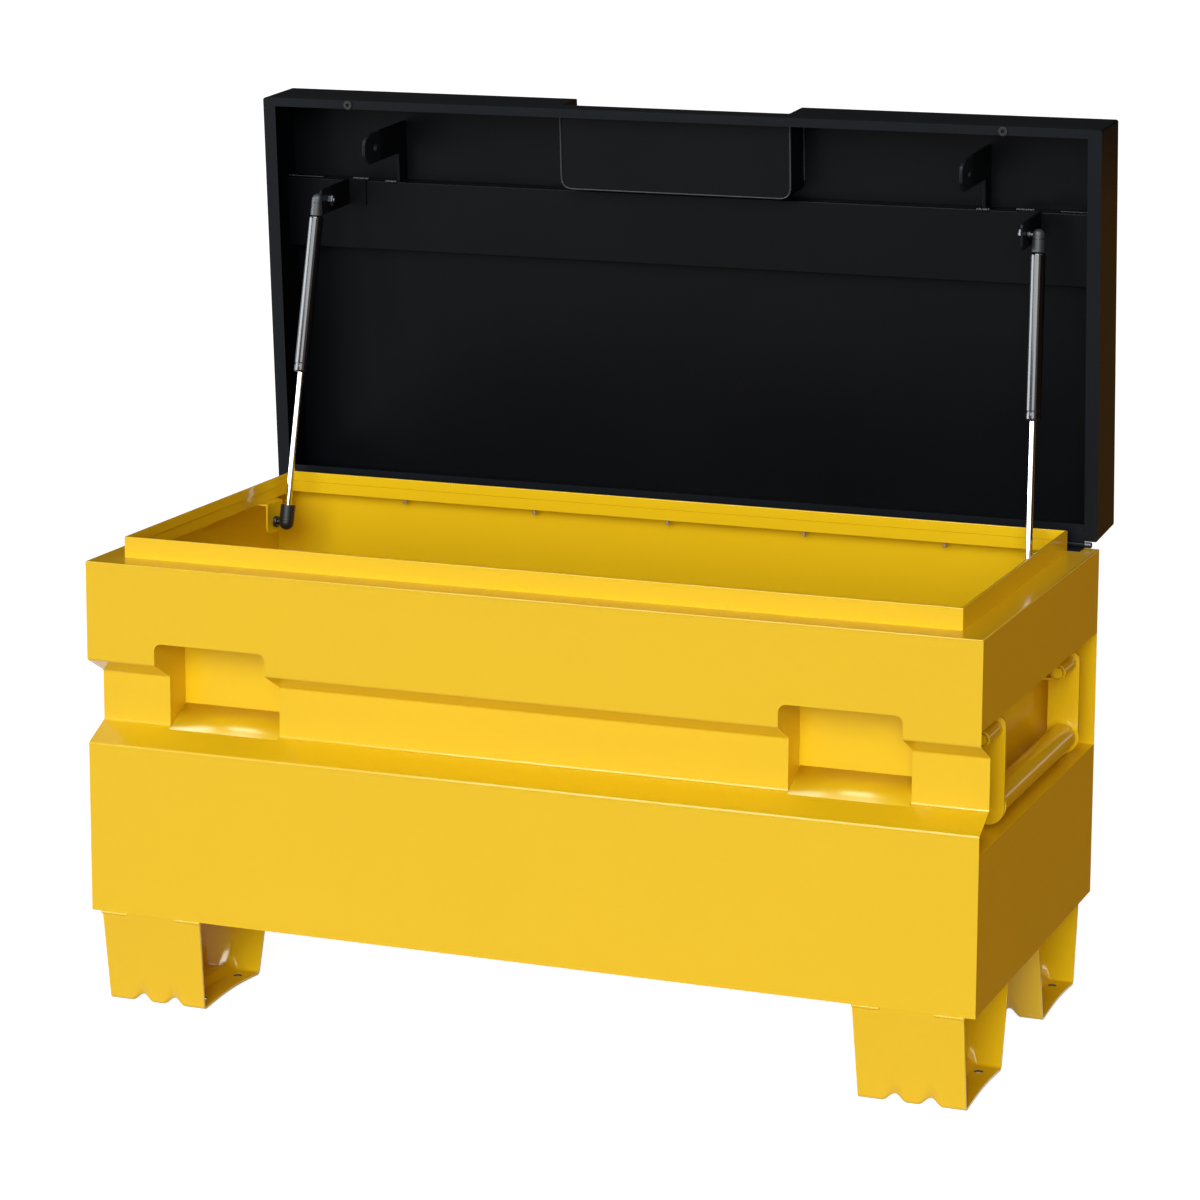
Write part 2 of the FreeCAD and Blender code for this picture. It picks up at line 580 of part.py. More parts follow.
# Padlock pockets: a housing behind the front panel, with a slot in its roof for the lock tab
right_pocket = Piece("right_padlock_pocket")
right_pocket.pad("X", "pocket_centre - pocket_width / 2 - pocket_sheet",
                 "pocket_width + 2 * pocket_sheet", (
    ("-waist_face + body_sheet", "low_slope_end - low_fold"),
    ("-pocket_back + pocket_sheet", "pocket_back_foot - low_fold"),
    ("-pocket_back + pocket_sheet", "chamber_foot - low_fold"),
    ("-chamber_back + pocket_sheet", "chamber_foot + chamber_rise - low_fold"),
    ("-chamber_back + pocket_sheet", "wall_top"), ("-front + body_sheet", "wall_top"),
    ("-front + body_sheet", "high_slope_end + high_fold"),
    ("-waist_face + body_sheet", "high_slope_start + high_fold")))
right_pocket.pocket("X", "pocket_centre - pocket_width / 2", "pocket_width", (
    ("-front", "low_slope_start"), ("-pocket_back", "pocket_back_foot"),
    ("-pocket_back", "chamber_foot"),
    ("-chamber_back", "chamber_foot + chamber_rise"),
    ("-chamber_back", "wall_top - pocket_sheet"), ("-front", "wall_top - pocket_sheet")))
right_pocket.pocket("Z", "wall_top - pocket_sheet - overrun", "pocket_sheet + 2 * overrun", rectangle(
    "pocket_centre - slot_half", "pocket_centre + slot_half",
    "hinge_y - tab_reach - slot_play", "hinge_y - tab_reach + tab_width + slot_play"))
mirrored("left_padlock_pocket", right_pocket, ACROSS)

# Lock staples: a plate beside each slot, with a hole in line with the closed lock tab's hole
right_staple = Piece("right_lock_staple")
staple_top = "wall_top - pocket_sheet"
right_staple.pad("X", "pocket_centre + slot_half", "staple_gauge", rectangle(
    "hinge_y - tab_reach - slot_play", "hinge_y - tab_reach + tab_width + slot_play",
    f"{staple_top} - staple_drop", staple_top), Circle(
    "hinge_y - tab_hole_reach", "hinge_z - tab_hole_drop", "tab_hole / 2"))
mirrored("left_lock_staple", right_staple, ACROSS)

# Feet: tapered channels with ribs pressed across the sole and up both walls, and four caster holes
foot = Piece("rear_right_foot")
foot.pad("X", "foot_side - foot_width", "foot_width", (
    ("foot_head_outer", "foot_height"), ("foot_sole_outer", "0"), ("foot_sole_inner", "0"),
    ("foot_head_inner", "foot_height")))
foot.soften("foot_bend", "X", ("foot_sole_outer", "0"), ("foot_sole_inner", "0"))
foot.pocket("X", "foot_side - foot_width - overrun", "foot_width + 2 * overrun", (
    ("foot_head_outer - foot_sheet + overrun * outer_slope", "foot_height + overrun"),
    ("foot_sole_outer - foot_sheet + foot_sheet * outer_slope", "foot_sheet"),
    ("foot_sole_inner + foot_sheet - foot_sheet * inner_slope", "foot_sheet"),
    ("foot_head_inner + foot_sheet - overrun * inner_slope", "foot_height + overrun")))
rib_lines = ("foot_side - rib_place", "foot_side - foot_width + rib_place")
rib_bends = (("foot_sole_outer", "-", "+", "outer_slope"), ("foot_sole_inner", "+", "-", "inner_slope"))
rib_foot = "(rib_width / 2 + rib_wall - rib_slope * foot_sheet / 2)"
rib_top = "(rib_crest / 2 + rib_wall - rib_slope * foot_sheet)"
for line in rib_lines:
    foot.pad("Y", "foot_sole_inner + foot_sheet", "foot_sole_outer - foot_sole_inner - 2 * foot_sheet", (
        (f"{line} - {rib_foot}", "foot_sheet / 2"), (f"{line} + {rib_foot}", "foot_sheet / 2"),
        (f"{line} + {rib_top}", "rib_height + foot_sheet"),
        (f"{line} - {rib_top}", "rib_height + foot_sheet")))
    for bend, inward, outward, slope in rib_bends:
        foot.pad("X", f"{line} - rib_wall_width / 2 - foot_sheet", "rib_wall_width + 2 * foot_sheet", (
            (f"{bend} {inward} (rib_height + foot_sheet)", "foot_sheet / 2"),
            (f"{bend} {inward} (rib_height + foot_sheet)", "rib_height + foot_sheet"),
            (f"{bend} {outward} rib_reach * {slope} {inward} foot_sheet", "rib_reach"),
            (f"{bend} {outward} rib_reach * {slope} {inward} foot_sheet / 2", "rib_reach"),
            (f"{bend} {inward} foot_sheet / 2", "foot_bend")))
for line in rib_lines:
    foot.pocket("Y", "foot_sole_inner - overrun", "foot_sole_outer - foot_sole_inner + 2 * overrun", (
        (f"{line} - rib_width / 2", "-overrun"), (f"{line} + rib_width / 2", "-overrun"),
        (f"{line} + rib_width / 2", "0"), (f"{line} + rib_crest / 2", "rib_height"),
        (f"{line} - rib_crest / 2", "rib_height"), (f"{line} - rib_width / 2", "0")))
    for bend, inward, outward, slope in rib_bends:
        foot.pocket("X", f"{line} - rib_wall_width / 2", "rib_wall_width", (
            (f"{bend} {inward} rib_height", "-overrun"), (f"{bend} {inward} rib_height", "rib_height"),
            (f"{bend} {outward} rib_reach * {slope}", "rib_reach"),
            (f"{bend} {outward} (rib_reach * {slope} + overrun)", "rib_reach"),
            (f"{bend} {outward} (rib_reach * {slope} + overrun)", "-overrun")))
caster_rows = [f"foot_sole_middle {way} caster_spacing / 2" for way in "-+"]
caster_lines = ("foot_side - caster_edge", "foot_side - foot_width + caster_edge")
foot.pocket("Z", "-overrun", "foot_sheet + 2 * overrun", *[
    Circle(line, row, "caster_hole / 2") for line in caster_lines for row in caster_rows])
front_foot = mirrored("front_right_foot", foot, LENGTHWISE)
mirrored("rear_left_foot", foot, ACROSS)
mirrored("front_left_foot", front_foot, ACROSS)

# Lower strut brackets: a plate hung from the ledge, with a flange under it
right_bracket = Piece("right_lower_strut_bracket")
bracket_near = "hinge_y - lower_ball_set - lower_bracket_width / 2"
bracket_far = "hinge_y - lower_ball_set + lower_bracket_width / 2"
right_bracket.pad("Y", bracket_near, "lower_bracket_width", (
    ("lower_bracket_face", "wall_top"), ("lower_bracket_face", "wall_top - lower_bracket_drop"),
    ("lower_bracket_face + bracket_gauge", "wall_top - lower_bracket_drop"),
    ("lower_bracket_face + bracket_gauge", "wall_top - bracket_gauge"),
    ("lower_bracket_face + lower_bracket_flange", "wall_top - bracket_gauge"),
    ("lower_bracket_face + lower_bracket_flange", "wall_top")))
right_bracket.soften("lower_bracket_corner", "X",
                     (bracket_near, "wall_top - lower_bracket_drop"),
                     (bracket_far, "wall_top - lower_bracket_drop"))
ball_row = ("hinge_y - lower_ball_set", "ledge_top - lower_ball_drop")
right_bracket.pocket("X", "lower_bracket_face - overrun", "bracket_gauge + 2 * overrun",
                     Circle(*ball_row, "stud_thread / 2"))
mirrored("left_lower_strut_bracket", right_bracket, ACROSS)

# Lower ball studs with their nuts on the outer face of the bracket
right_stud = fused(
    "right_lower_ball_stud",
    ball(("lower_ball_side", *ball_row), "ball_width / 2", pole="X"),
    cylinder("X", ("lower_ball_side", *ball_row), "ball_neck / 2",
             "lower_bracket_face - lower_ball_side"),
    cylinder("X", ("lower_bracket_face - collar_gauge", *ball_row), "ball_collar / 2",
             "collar_gauge"),
    cylinder("X", ("lower_bracket_face", *ball_row), "stud_thread / 2",
             "bracket_gauge + nut_gauge + thread_end"))
mirrored("left_lower_ball_stud", right_stud, ACROSS)
nut_start = "lower_bracket_face + bracket_gauge"
right_nut = less(
    "right_lower_stud_nut", hexagon("X", (nut_start, *ball_row), "nut_width", "nut_gauge"),
    cylinder("X", (f"{nut_start} - overrun", *ball_row), "stud_thread / 2",
             "nut_gauge + 2 * overrun"))
mirrored("left_lower_stud_nut", right_nut, ACROSS)

# Hinge, lower leaf: flat on the rear ledge, with every second knuckle of the barrel
start_x = "-hinge_length / 2"
knuckle = "knuckle_pitch - knuckle_gap"
notch = "(hinge_barrel / 2 + knuckle_gap)"


def hinge_leaf(label, axis_y, axis_z, leaf_low, knuckles, first, others, first_other):
    """A leaf from its free edge to the pin axis, with its knuckles and the notches between them."""
    leaf = Piece(label)
    leaf.pad("Z", leaf_low, "leaf_gauge", rectangle(
        start_x, "hinge_length / 2", f"{axis_y} - hinge_leaf", axis_y))
    barrel = leaf.pad("X", f"{start_x} + {first} * knuckle_pitch + knuckle_gap / 2", knuckle,
                      Circle(axis_y, axis_z, "hinge_barrel / 2"))
    leaf.repeat(barrel, knuckles, f"2 * knuckle_pitch * ({knuckles} - 1)")
    gap = leaf.pocket("Z", f"{leaf_low} - overrun", "leaf_gauge + 2 * overrun", rectangle(
        f"{start_x} + {first_other} * knuckle_pitch - knuckle_gap / 2",
        f"{start_x} + {first_other} * knuckle_pitch + knuckle_pitch + knuckle_gap / 2",
        f"{axis_y} - {notch}", f"{axis_y} + overrun"))
    leaf.repeat(gap, others, f"2 * knuckle_pitch * ({others} - 1)")
    leaf.pocket("X", f"{start_x} - overrun", "hinge_length + 2 * overrun",
                Circle(axis_y, axis_z, "hinge_pin / 2 + pin_play"))
    return leaf


lower_leaf = hinge_leaf("hinge_lower_leaf", "hinge_y", "hinge_z", "ledge_top",
                        "(knuckle_count + 1) / 2", "0", "(knuckle_count - 1) / 2", "1")
NODES["hinge_pin"] = cylinder("X", (start_x, "hinge_y", "hinge_z"), "hinge_pin / 2",
                              "hinge_length")
NODES["hinge_pin"].Label = "hinge_pin"

# Fixing studs: flush heads in the lower leaf, shanks that hang below the ledge
stud_y = "hinge_y - stud_set"
for place in range(int(number("stud_count"))):
    stud_x = f"({place} - (stud_count - 1) / 2) * stud_pitch"
    lower_leaf.pocket("Z", "ledge_top - overrun", "leaf_gauge + 2 * overrun",
                      Circle(stud_x, stud_y, "stud_head / 2"))
    rim_ledge.pocket("Z", "wall_top - overrun", "rim_sheet + 2 * overrun",
                     Circle(stud_x, stud_y, "stud_shank / 2"))
studs = []
for place in range(int(number("stud_count"))):
    stud_x = f"({place} - (stud_count - 1) / 2) * stud_pitch"
    stud = doc.addObject("Part::MultiFuse", "Stud")
    stud.Shapes = [
        cylinder("Z", (stud_x, stud_y, "ledge_top"), "stud_head / 2", "leaf_gauge"),
        cylinder("Z", (stud_x, stud_y, "ledge_top - stud_drop - rim_sheet"), "stud_shank / 2",
                 "stud_drop + rim_sheet")]
    studs.append(stud)
grouped("hinge_studs", *studs)

# Handle loops: a strap rolled round each pivot pin, its tail welded to the recess wall
loop_outer = "handle_pin / 2 + handle_play + loop_gauge"
for name, start in (("front", "handle_start"),
                    ("rear", "rear_arm_y - handle_side_play - loop_length")):
    loop = Piece(f"right_{name}_handle_loop")
    loop.pad("Y", start, "loop_length", Circle("handle_x", "handle_z", loop_outer))
    loop.pad("Y", start, "loop_length", rectangle(
        "recess_face", "handle_x", f"handle_z - ({loop_outer})",
        f"handle_z - ({loop_outer}) + loop_gauge"))
    loop.pocket("Y", f"{start} - overrun", "loop_length + 2 * overrun",
                Circle("handle_x", "handle_z", "handle_pin / 2 + handle_play"))
    mirrored(f"left_{name}_handle_loop", loop, ACROSS)

# Handles: two plate arms, a pivot pin welded in each, and a tube grip between them
for name, start, in (("front", "front_arm_y"), ("rear", "rear_arm_y")):
    arm = Piece(f"right_handle_{name}_arm")
    inner, outer = "handle_x - arm_inner", "handle_x + arm_outer"
    low, high = "handle_z - arm_drop", "handle_z + arm_head"
    arm.pad("Y", start, "arm_gauge", rectangle(inner, outer, low, high))
    arm.soften("arm_head_corner", "Y", (inner, high), (outer, high))
    arm.soften("arm_foot_corner", "Y", (outer, low))
    arm.pocket("Y", f"{start} - overrun", "arm_gauge + 2 * overrun",
               Circle("handle_x", "handle_z", "handle_pin / 2"))
    mirrored(f"left_handle_{name}_arm", arm, ACROSS)
    pin_start = f"{start} - handle_side_play - loop_length"
    pin = fused(
        f"right_handle_{name}_pin",
        cylinder("Y", ("handle_x", f"{pin_start} - handle_side_play", "handle_z"),
                 "handle_pin / 2", "loop_length + 2 * handle_side_play + arm_gauge"),
        cylinder("Y", ("handle_x", f"{pin_start} - handle_side_play - handle_pin_head_gauge",
                       "handle_z"), "handle_pin_head / 2", "handle_pin_head_gauge"))
    mirrored(f"left_handle_{name}_pin", pin, ACROSS)
grip_row = ("handle_x - grip_inset", "handle_z - grip_drop")
grip = Piece("right_handle_grip")
grip.pad("Y", "front_arm_y + arm_gauge", "rear_arm_y - front_arm_y - arm_gauge",
         Circle(*grip_row, "grip_width / 2"), Circle(*grip_row, "grip_width / 2 - grip_wall"))
mirrored("left_handle_grip", grip, ACROSS)


def hang_on_lid(thing):
    """The lid's pieces are drawn closed, from the pin axis, and turned open together."""
    thing = getattr(thing, "body", thing)
    thing.Placement = Placement(Vector(), Rotation(ACROSS, -number("lid_opening")))
    thing.setExpression("Placement.Rotation.Angle", bound("-lid_opening"))
    thing.setExpression("Placement.Base.y", bound("hinge_y"))
    thing.setExpression("Placement.Base.z", bound("hinge_z"))
    return thing


# Lid shell: skin, four walls and in-turned flanges, cut away at the front for the notch
lid = Piece("lid_shell")
lid.pad("Z", "-lid_drop", "lid_height",
        rectangle("-lid_side", "lid_side", "-lid_front", "-lid_setback"))
lid.soften("lid_corner", "X", ("-lid_front", "lid_top"), ("-lid_setback", "lid_top"))
lid.soften("lid_corner", "Y", ("-lid_side", "lid_top"), ("lid_side", "lid_top"))
lid.pocket("Z", "-lid_drop + lid_sheet", "lid_height - 2 * lid_sheet", rectangle(
    "-lid_side + lid_sheet", "lid_side - lid_sheet",
    "-lid_front + lid_sheet", "-lid_setback - lid_sheet"))
lid.pocket("Z", "-lid_drop - overrun", "lid_sheet + 2 * overrun", rectangle(
    "-lid_side + flange_side", "lid_side - flange_side",
    "-lid_front + flange_front", "-lid_setback - flange_rear"))
lid.pocket("Z", "tray_face + lid_sheet", "lid_height", rectangle(
    "-tray_side + lid_sheet", "tray_side - lid_sheet",
    "-lid_front - overrun", "-tray_back - lid_sheet"))
lid.soften("notch_corner - lid_sheet", "Z",
           ("-tray_side + lid_sheet", "-tray_back - lid_sheet"),
           ("tray_side - lid_sheet", "-tray_back - lid_sheet"))
hang_on_lid(lid)

# Lid notch tray: the folded and welded pan that lines the hand notch
tray_block = Piece("tray_block", kept=False)
tray_block.pad("Z", "tray_face", "lid_ceiling - tray_face", rectangle(
    "-tray_side", "tray_side", "-lid_front + lid_sheet", "-tray_back"))
tray_block.soften("notch_corner", "Z", ("-tray_side", "-tray_back"), ("tray_side", "-tray_back"))
tray_core = Piece("tray_core", kept=False)
tray_core.pad("Z", "tray_face + lid_sheet", "lid_height", rectangle(
    "-tray_side + lid_sheet", "tray_side - lid_sheet",
    "-lid_front - overrun", "-tray_back - lid_sheet"))
tray_core.soften("notch_corner - lid_sheet", "Z",
                 ("-tray_side + lid_sheet", "-tray_back - lid_sheet"),
                 ("tray_side - lid_sheet", "-tray_back - lid_sheet"))
hang_on_lid(less("lid_notch_tray", tray_block.body, tray_core.body))

# Lid stiffener: a channel across the inside of the skin
stiffener = Piece("lid_stiffener")
stiffener.pad("X", "-lid_side + lid_sheet", "2 * (lid_side - lid_sheet)", (
    ("-stiffener_far", "lid_ceiling"), ("-stiffener_far", "stiffener_face"),
    ("-stiffener_near", "stiffener_face"), ("-stiffener_near", "lid_ceiling"),
    ("-stiffener_near - lid_sheet", "lid_ceiling"),
    ("-stiffener_near - lid_sheet", "stiffener_face + lid_sheet"),
    ("-stiffener_far + lid_sheet", "stiffener_face + lid_sheet"),
    ("-stiffener_far + lid_sheet", "lid_ceiling")))
hang_on_lid(stiffener)

# Lock tabs: a plate blade that drops through the slot of its padlock pocket
right_tab = Piece("right_lock_tab")
right_tab.pad("X", "pocket_centre - tab_gauge / 2", "tab_gauge", (
    ("-tab_reach", "lid_ceiling"), ("-tab_reach", "-tab_drop + tab_bevel_drop"),
    ("-tab_reach + tab_bevel / 2", "-tab_drop + tab_nose"),
    ("-tab_reach + tab_bevel", "-tab_drop"),
    ("-tab_reach + tab_width - tab_bevel", "-tab_drop"),
    ("-tab_reach + tab_width", "-tab_drop + tab_bevel"),
    ("-tab_reach + tab_width", "stiffener_face"), ("-stiffener_far", "stiffener_face"),
    ("-stiffener_far", "lid_ceiling")), Circle(
    "-tab_hole_reach", "-tab_hole_drop", "tab_hole / 2"))
hang_on_lid(right_tab)
mirrored("left_lock_tab", right_tab, ACROSS)

# Upper strut brackets: a bent plate on the stiffener's face
right_upper = Piece("right_upper_strut_bracket")
right_upper.pad("Y", "-upper_bracket_near - upper_bracket_width", "upper_bracket_width", (
    ("upper_bracket_face - upper_bracket_foot", "stiffener_face"),
    ("upper_bracket_face - upper_bracket_foot", "stiffener_face - bracket_gauge"),
    ("upper_bracket_face - bracket_gauge", "stiffener_face - bracket_gauge"),
    ("upper_bracket_face - bracket_gauge", "-upper_bracket_drop"),
    ("upper_bracket_face", "-upper_bracket_drop"), ("upper_bracket_face", "stiffener_face")))
right_upper.soften("bracket_corner", "X",
                   ("-upper_bracket_near", "-upper_bracket_drop"),
                   ("-upper_bracket_near - upper_bracket_width", "-upper_bracket_drop"))
upper_row = ("-upper_ball_reach", "-upper_ball_drop")
right_upper.pocket("X", "upper_bracket_face - bracket_gauge - overrun", "bracket_gauge + 2 * overrun",
                   Circle(*upper_row, "stud_thread / 2"))
hang_on_lid(right_upper)
mirrored("left_upper_strut_bracket", right_upper, ACROSS)
upper_nut_start = "upper_bracket_face - bracket_gauge - nut_gauge"
right_upper_nut = hang_on_lid(fused(
    "right_upper_stud_nut",
    hexagon("X", (upper_nut_start, *upper_row), "nut_width", "nut_gauge"),
    cylinder("X", (f"{upper_nut_start} - thread_end", *upper_row), "stud_thread / 2",
             "thread_end + nut_gauge + bracket_gauge")))
mirrored("left_upper_stud_nut", right_upper_nut, ACROSS)

# Bumpers: two round buttons with a centre hole on the lid's front flange
bumper_y = "-lid_front + bumper_edge"
buttons = []
for hand in ("-", ""):
    spot = (f"{hand}bumper_centre", bumper_y)
    button = doc.addObject("Part::Cut", "Button")
    button.Base = cylinder("Z", (*spot, "-lid_drop - bumper_rise"), "bumper_width / 2", "bumper_rise")
    button.Tool = cylinder("Z", (*spot, "-lid_drop - bumper_rise - overrun"), "bumper_bore / 2",
                           "bumper_rise + 2 * overrun")
    buttons.append(button)
hang_on_lid(grouped("lid_bumpers", *buttons))

# Hinge, upper leaf: under the lid's rear flange, with the other knuckles
hang_on_lid(hinge_leaf("hinge_upper_leaf", "0", "0", "-lid_drop - leaf_gauge",
                       "(knuckle_count - 1) / 2", "1", "(knuckle_count + 1) / 2", "0"))

# Gas struts: drawn from the lower ball along their own length, then stood between their balls
lower_ball = Vector(*[number(formula) for formula in ("lower_ball_side", *ball_row)])
upper_ball = Vector(number("upper_ball_side"), number("hinge_y + open_ball_y"),
                    number("hinge_z + open_ball_z"))
along = (upper_ball - lower_ball).normalize()
rearward = along.cross(ACROSS).normalize()
strut_place = Placement(lower_ball, Rotation(rearward.cross(along), rearward, along, "ZXY"))


def stand_strut(thing):
    """The piece turned from its own drawing into its place between the two balls."""
    thing.Placement = strut_place
    return thing


rod_tip = "rod_exposed + piston_set + piston_gauge"
tube_end = "strut_length - upper_socket_length"
right_rod = stand_strut(fused(
    "right_strut_rod",
    cylinder("Z", ("0", "0", "rod_hold"), "rod_width / 2", f"{rod_tip} - rod_hold"),
    cylinder("Z", ("0", "0", "rod_exposed + piston_set"),
             "tube_width / 2 - tube_wall - rod_play", "piston_gauge")))
right_tube = stand_strut(less(
    "right_strut_cylinder",
    cylinder("Z", ("0", "0", "rod_exposed"), "tube_width / 2", f"{tube_end} - rod_exposed"),
    cylinder("Z", ("0", "0", "rod_exposed - overrun"), "rod_width / 2 + rod_play",
             "tube_cap + 2 * overrun"),
    cylinder("Z", ("0", "0", "rod_exposed + tube_cap"), "tube_width / 2 - tube_wall",
             f"{tube_end} - rod_exposed - 2 * tube_cap")))
cavity = "ball_width / 2 + ball_play"
lower_cup = doc.addObject("Part::MultiFuse", "Cup")
lower_cup.Shapes = [
    ball(("0", "0", "0"), "lower_socket_width / 2"),
    cylinder("Z", ("0", "0", "0"), "lower_socket_width / 2", "lower_socket_neck")]
right_lower_socket = stand_strut(less(
    "right_strut_lower_socket", lower_cup, ball(("0", "0", "0"), cavity),
    cylinder("X", ("0", "0", "0"), "ball_neck / 2 + neck_play", "lower_socket_width"),
    cylinder("Z", ("0", "0", "rod_hold"), "rod_width / 2", "lower_socket_neck")))
upper_cup = doc.addObject("Part::MultiFuse", "Cup")
upper_cup.Shapes = [
    ball(("0", "0", "strut_length"), "upper_socket_width / 2"),
    cylinder("Z", ("0", "0", tube_end), "upper_socket_width / 2", "upper_socket_length")]
right_upper_socket = stand_strut(less(
    "right_strut_upper_socket", upper_cup, ball(("0", "0", "strut_length"), cavity),
    cylinder("X", ("-upper_socket_width", "0", "strut_length"), "ball_neck / 2 + neck_play",
             "upper_socket_width")))
upper_stud = hang_on_lid(fused(
    "right_upper_ball_stud",
    ball(("upper_ball_side", *upper_row), "ball_width / 2", pole="X"),
    cylinder("X", ("upper_bracket_face + pivot_gap", *upper_row), "ball_neck / 2",
             "upper_ball_side - upper_bracket_face - pivot_gap"),
    cylinder("X", ("upper_bracket_face + pivot_gap", *upper_row), "upper_collar / 2",
             "collar_gauge")))
for right_piece in (right_rod, right_tube, right_lower_socket, right_upper_socket, upper_stud):
    mirrored(right_piece.Label.replace("right", "left", 1), right_piece, ACROSS)

doc.recompute()


def check_model():
    """Every object up to date, and every node one or more closed and valid solids."""
    for thing in doc.Objects:
        if "Invalid" in thing.State or "Error" in thing.State:
            raise RuntimeError(f"{thing.Name} ({thing.Label}) failed: {thing.State}")
    for label, thing in NODES.items():
        shape = thing.Shape
        if shape.isNull() or not shape.isValid() or not shape.Solids:
            raise RuntimeError(f"{label} has no valid solid")


check_model()
os.makedirs("parts", exist_ok=True)
for label, thing in NODES.items():
    thing.Shape.exportStep(f"parts/{label}.step")
print(len(NODES), "nodes written")
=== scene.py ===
"""Looks of a steel site box: a gloss yellow body on channel feet, and a black lid on gas struts."""
import bpy
import bmesh
import math
from mathutils import Matrix, Vector


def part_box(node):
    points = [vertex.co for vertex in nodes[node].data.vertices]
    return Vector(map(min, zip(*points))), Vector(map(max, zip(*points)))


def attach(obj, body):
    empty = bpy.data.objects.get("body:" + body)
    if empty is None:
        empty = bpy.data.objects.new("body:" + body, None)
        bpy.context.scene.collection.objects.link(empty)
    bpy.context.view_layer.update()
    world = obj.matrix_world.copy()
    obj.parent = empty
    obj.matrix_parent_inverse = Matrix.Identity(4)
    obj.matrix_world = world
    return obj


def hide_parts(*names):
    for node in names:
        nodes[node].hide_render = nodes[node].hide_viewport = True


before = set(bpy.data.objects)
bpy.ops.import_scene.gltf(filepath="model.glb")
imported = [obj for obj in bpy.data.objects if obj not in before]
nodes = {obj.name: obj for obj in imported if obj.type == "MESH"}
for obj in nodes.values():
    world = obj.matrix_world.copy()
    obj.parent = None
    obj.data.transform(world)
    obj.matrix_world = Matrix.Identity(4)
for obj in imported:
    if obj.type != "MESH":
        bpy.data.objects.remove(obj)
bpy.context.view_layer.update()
scene = bpy.context.scene
scene.view_settings.view_transform = "Standard"

# Camera: a long lens to the right of the box's front, a little above its rim.
# Its turn, height and distance are those that the picture's corners give, and so is its small fall.
CAMERA_DISTANCE = 4.4258
look_at = Vector((0.0027, 0.0, 0.6736))
azimuth, elevation, roll = math.radians(21.09), math.radians(10.06), math.radians(0.219)
away = Vector((math.sin(azimuth) * math.cos(elevation), -math.cos(azimuth) * math.cos(elevation),
               math.sin(elevation)))
lens = bpy.data.cameras.new("camera")
lens.lens = 115.0
lens.sensor_width = 36
lens.shift_y = -0.14
lens.clip_end = 50
camera = bpy.data.objects.new("camera", lens)
camera.matrix_world = (Matrix.Translation(look_at + CAMERA_DISTANCE * away)
                       @ (-away).to_track_quat("-Z", "Y").to_matrix().to_4x4()
                       @ Matrix.Rotation(roll, 4, "Z"))
scene.collection.objects.link(camera)
scene.camera = camera

# Front panel: one steel sheet, pressed to a lower band, a recessed waist and an upper band.
# It is powder coated in gloss yellow, with the faint orange peel that such a coat dries to.
YELLOW = (0.865, 0.602, 0.011, 1)


def powder_coat(name, colour, roughness, ior, peel_size, peel_depth, drift):
    """A baked paint: slow drift of tone, and a fine skin whose bumps are peel_size metres apart."""
    paint = bpy.data.materials.new(name)
    paint.use_nodes = True
    tree = paint.node_tree
    coat = tree.nodes["Principled BSDF"]
    place = tree.nodes.new("ShaderNodeTexCoord").outputs["Object"]
    cloud = tree.nodes.new("ShaderNodeTexNoise")
    cloud.inputs["Scale"].default_value = 5
    cloud.inputs["Detail"].default_value = 3
    tone = tree.nodes.new("ShaderNodeMix")
    tone.data_type = "RGBA"
    tone.inputs["A"].default_value = [c * (1 - drift) for c in colour[:3]] + [1]
    tone.inputs["B"].default_value = [min(1, c * (1 + drift)) for c in colour[:3]] + [1]
    gloss = tree.nodes.new("ShaderNodeMapRange")
    gloss.inputs["To Min"].default_value = roughness * 0.85
    gloss.inputs["To Max"].default_value = roughness * 1.15
    peel = tree.nodes.new("ShaderNodeTexNoise")
    peel.inputs["Scale"].default_value = 1 / peel_size
    peel.inputs["Detail"].default_value = 2
    bump = tree.nodes.new("ShaderNodeBump")
    bump.inputs["Distance"].default_value = peel_depth
    bump.inputs["Strength"].default_value = 1
    join = tree.links.new
    join(place, cloud.inputs["Vector"])
    join(place, peel.inputs["Vector"])
    join(cloud.outputs["Fac"], tone.inputs["Factor"])
    join(cloud.outputs["Fac"], gloss.inputs["Value"])
    join(tone.outputs["Result"], coat.inputs["Base Color"])
    join(gloss.outputs["Result"], coat.inputs["Roughness"])
    join(peel.outputs["Fac"], bump.inputs["Height"])
    join(bump.outputs["Normal"], coat.inputs["Normal"])
    coat.inputs["IOR"].default_value = ior
    return paint


yellow_paint = powder_coat("yellow_powder_coat", YELLOW, roughness=0.15, ior=1.38,
                           peel_size=0.0016, peel_depth=0.000006, drift=0.02)
SAME_PLACE = 1e-6


def clean_copy(node):
    """The node's own form as one closed mesh with its flat faces whole."""
    data = nodes[node].data.copy()
    stored = data.attributes.get("custom_normal")
    if stored:
        data.attributes.remove(stored)
    mesh = bmesh.new()
    mesh.from_mesh(data)
    bpy.data.meshes.remove(data)
    bmesh.ops.remove_doubles(mesh, verts=mesh.verts, dist=SAME_PLACE)
    bmesh.ops.dissolve_limit(mesh, angle_limit=math.radians(0.5), use_dissolve_boundaries=False,
                             verts=mesh.verts, edges=mesh.edges, delimit=set())
    return mesh


def round_edges(mesh, edges, width, segments):
    """Rounds the edges over the width."""
    bmesh.ops.bevel(mesh, geom=edges, offset=width, offset_type="OFFSET", segments=segments,
                    profile=0.5, affect="EDGES", clamp_overlap=True, loop_slide=True, material=-1)


def ease(mesh, width, segments=3, sharper=30, chosen=None):
    """Rounds the edges where faces meet at more than the angle, or those of them that are chosen."""
    edges = [edge for edge in mesh.edges if len(edge.link_faces) == 2
             and edge.calc_face_angle(0) > math.radians(sharper) and (chosen is None or chosen(edge))]
    if edges:
        round_edges(mesh, edges, width, segments)


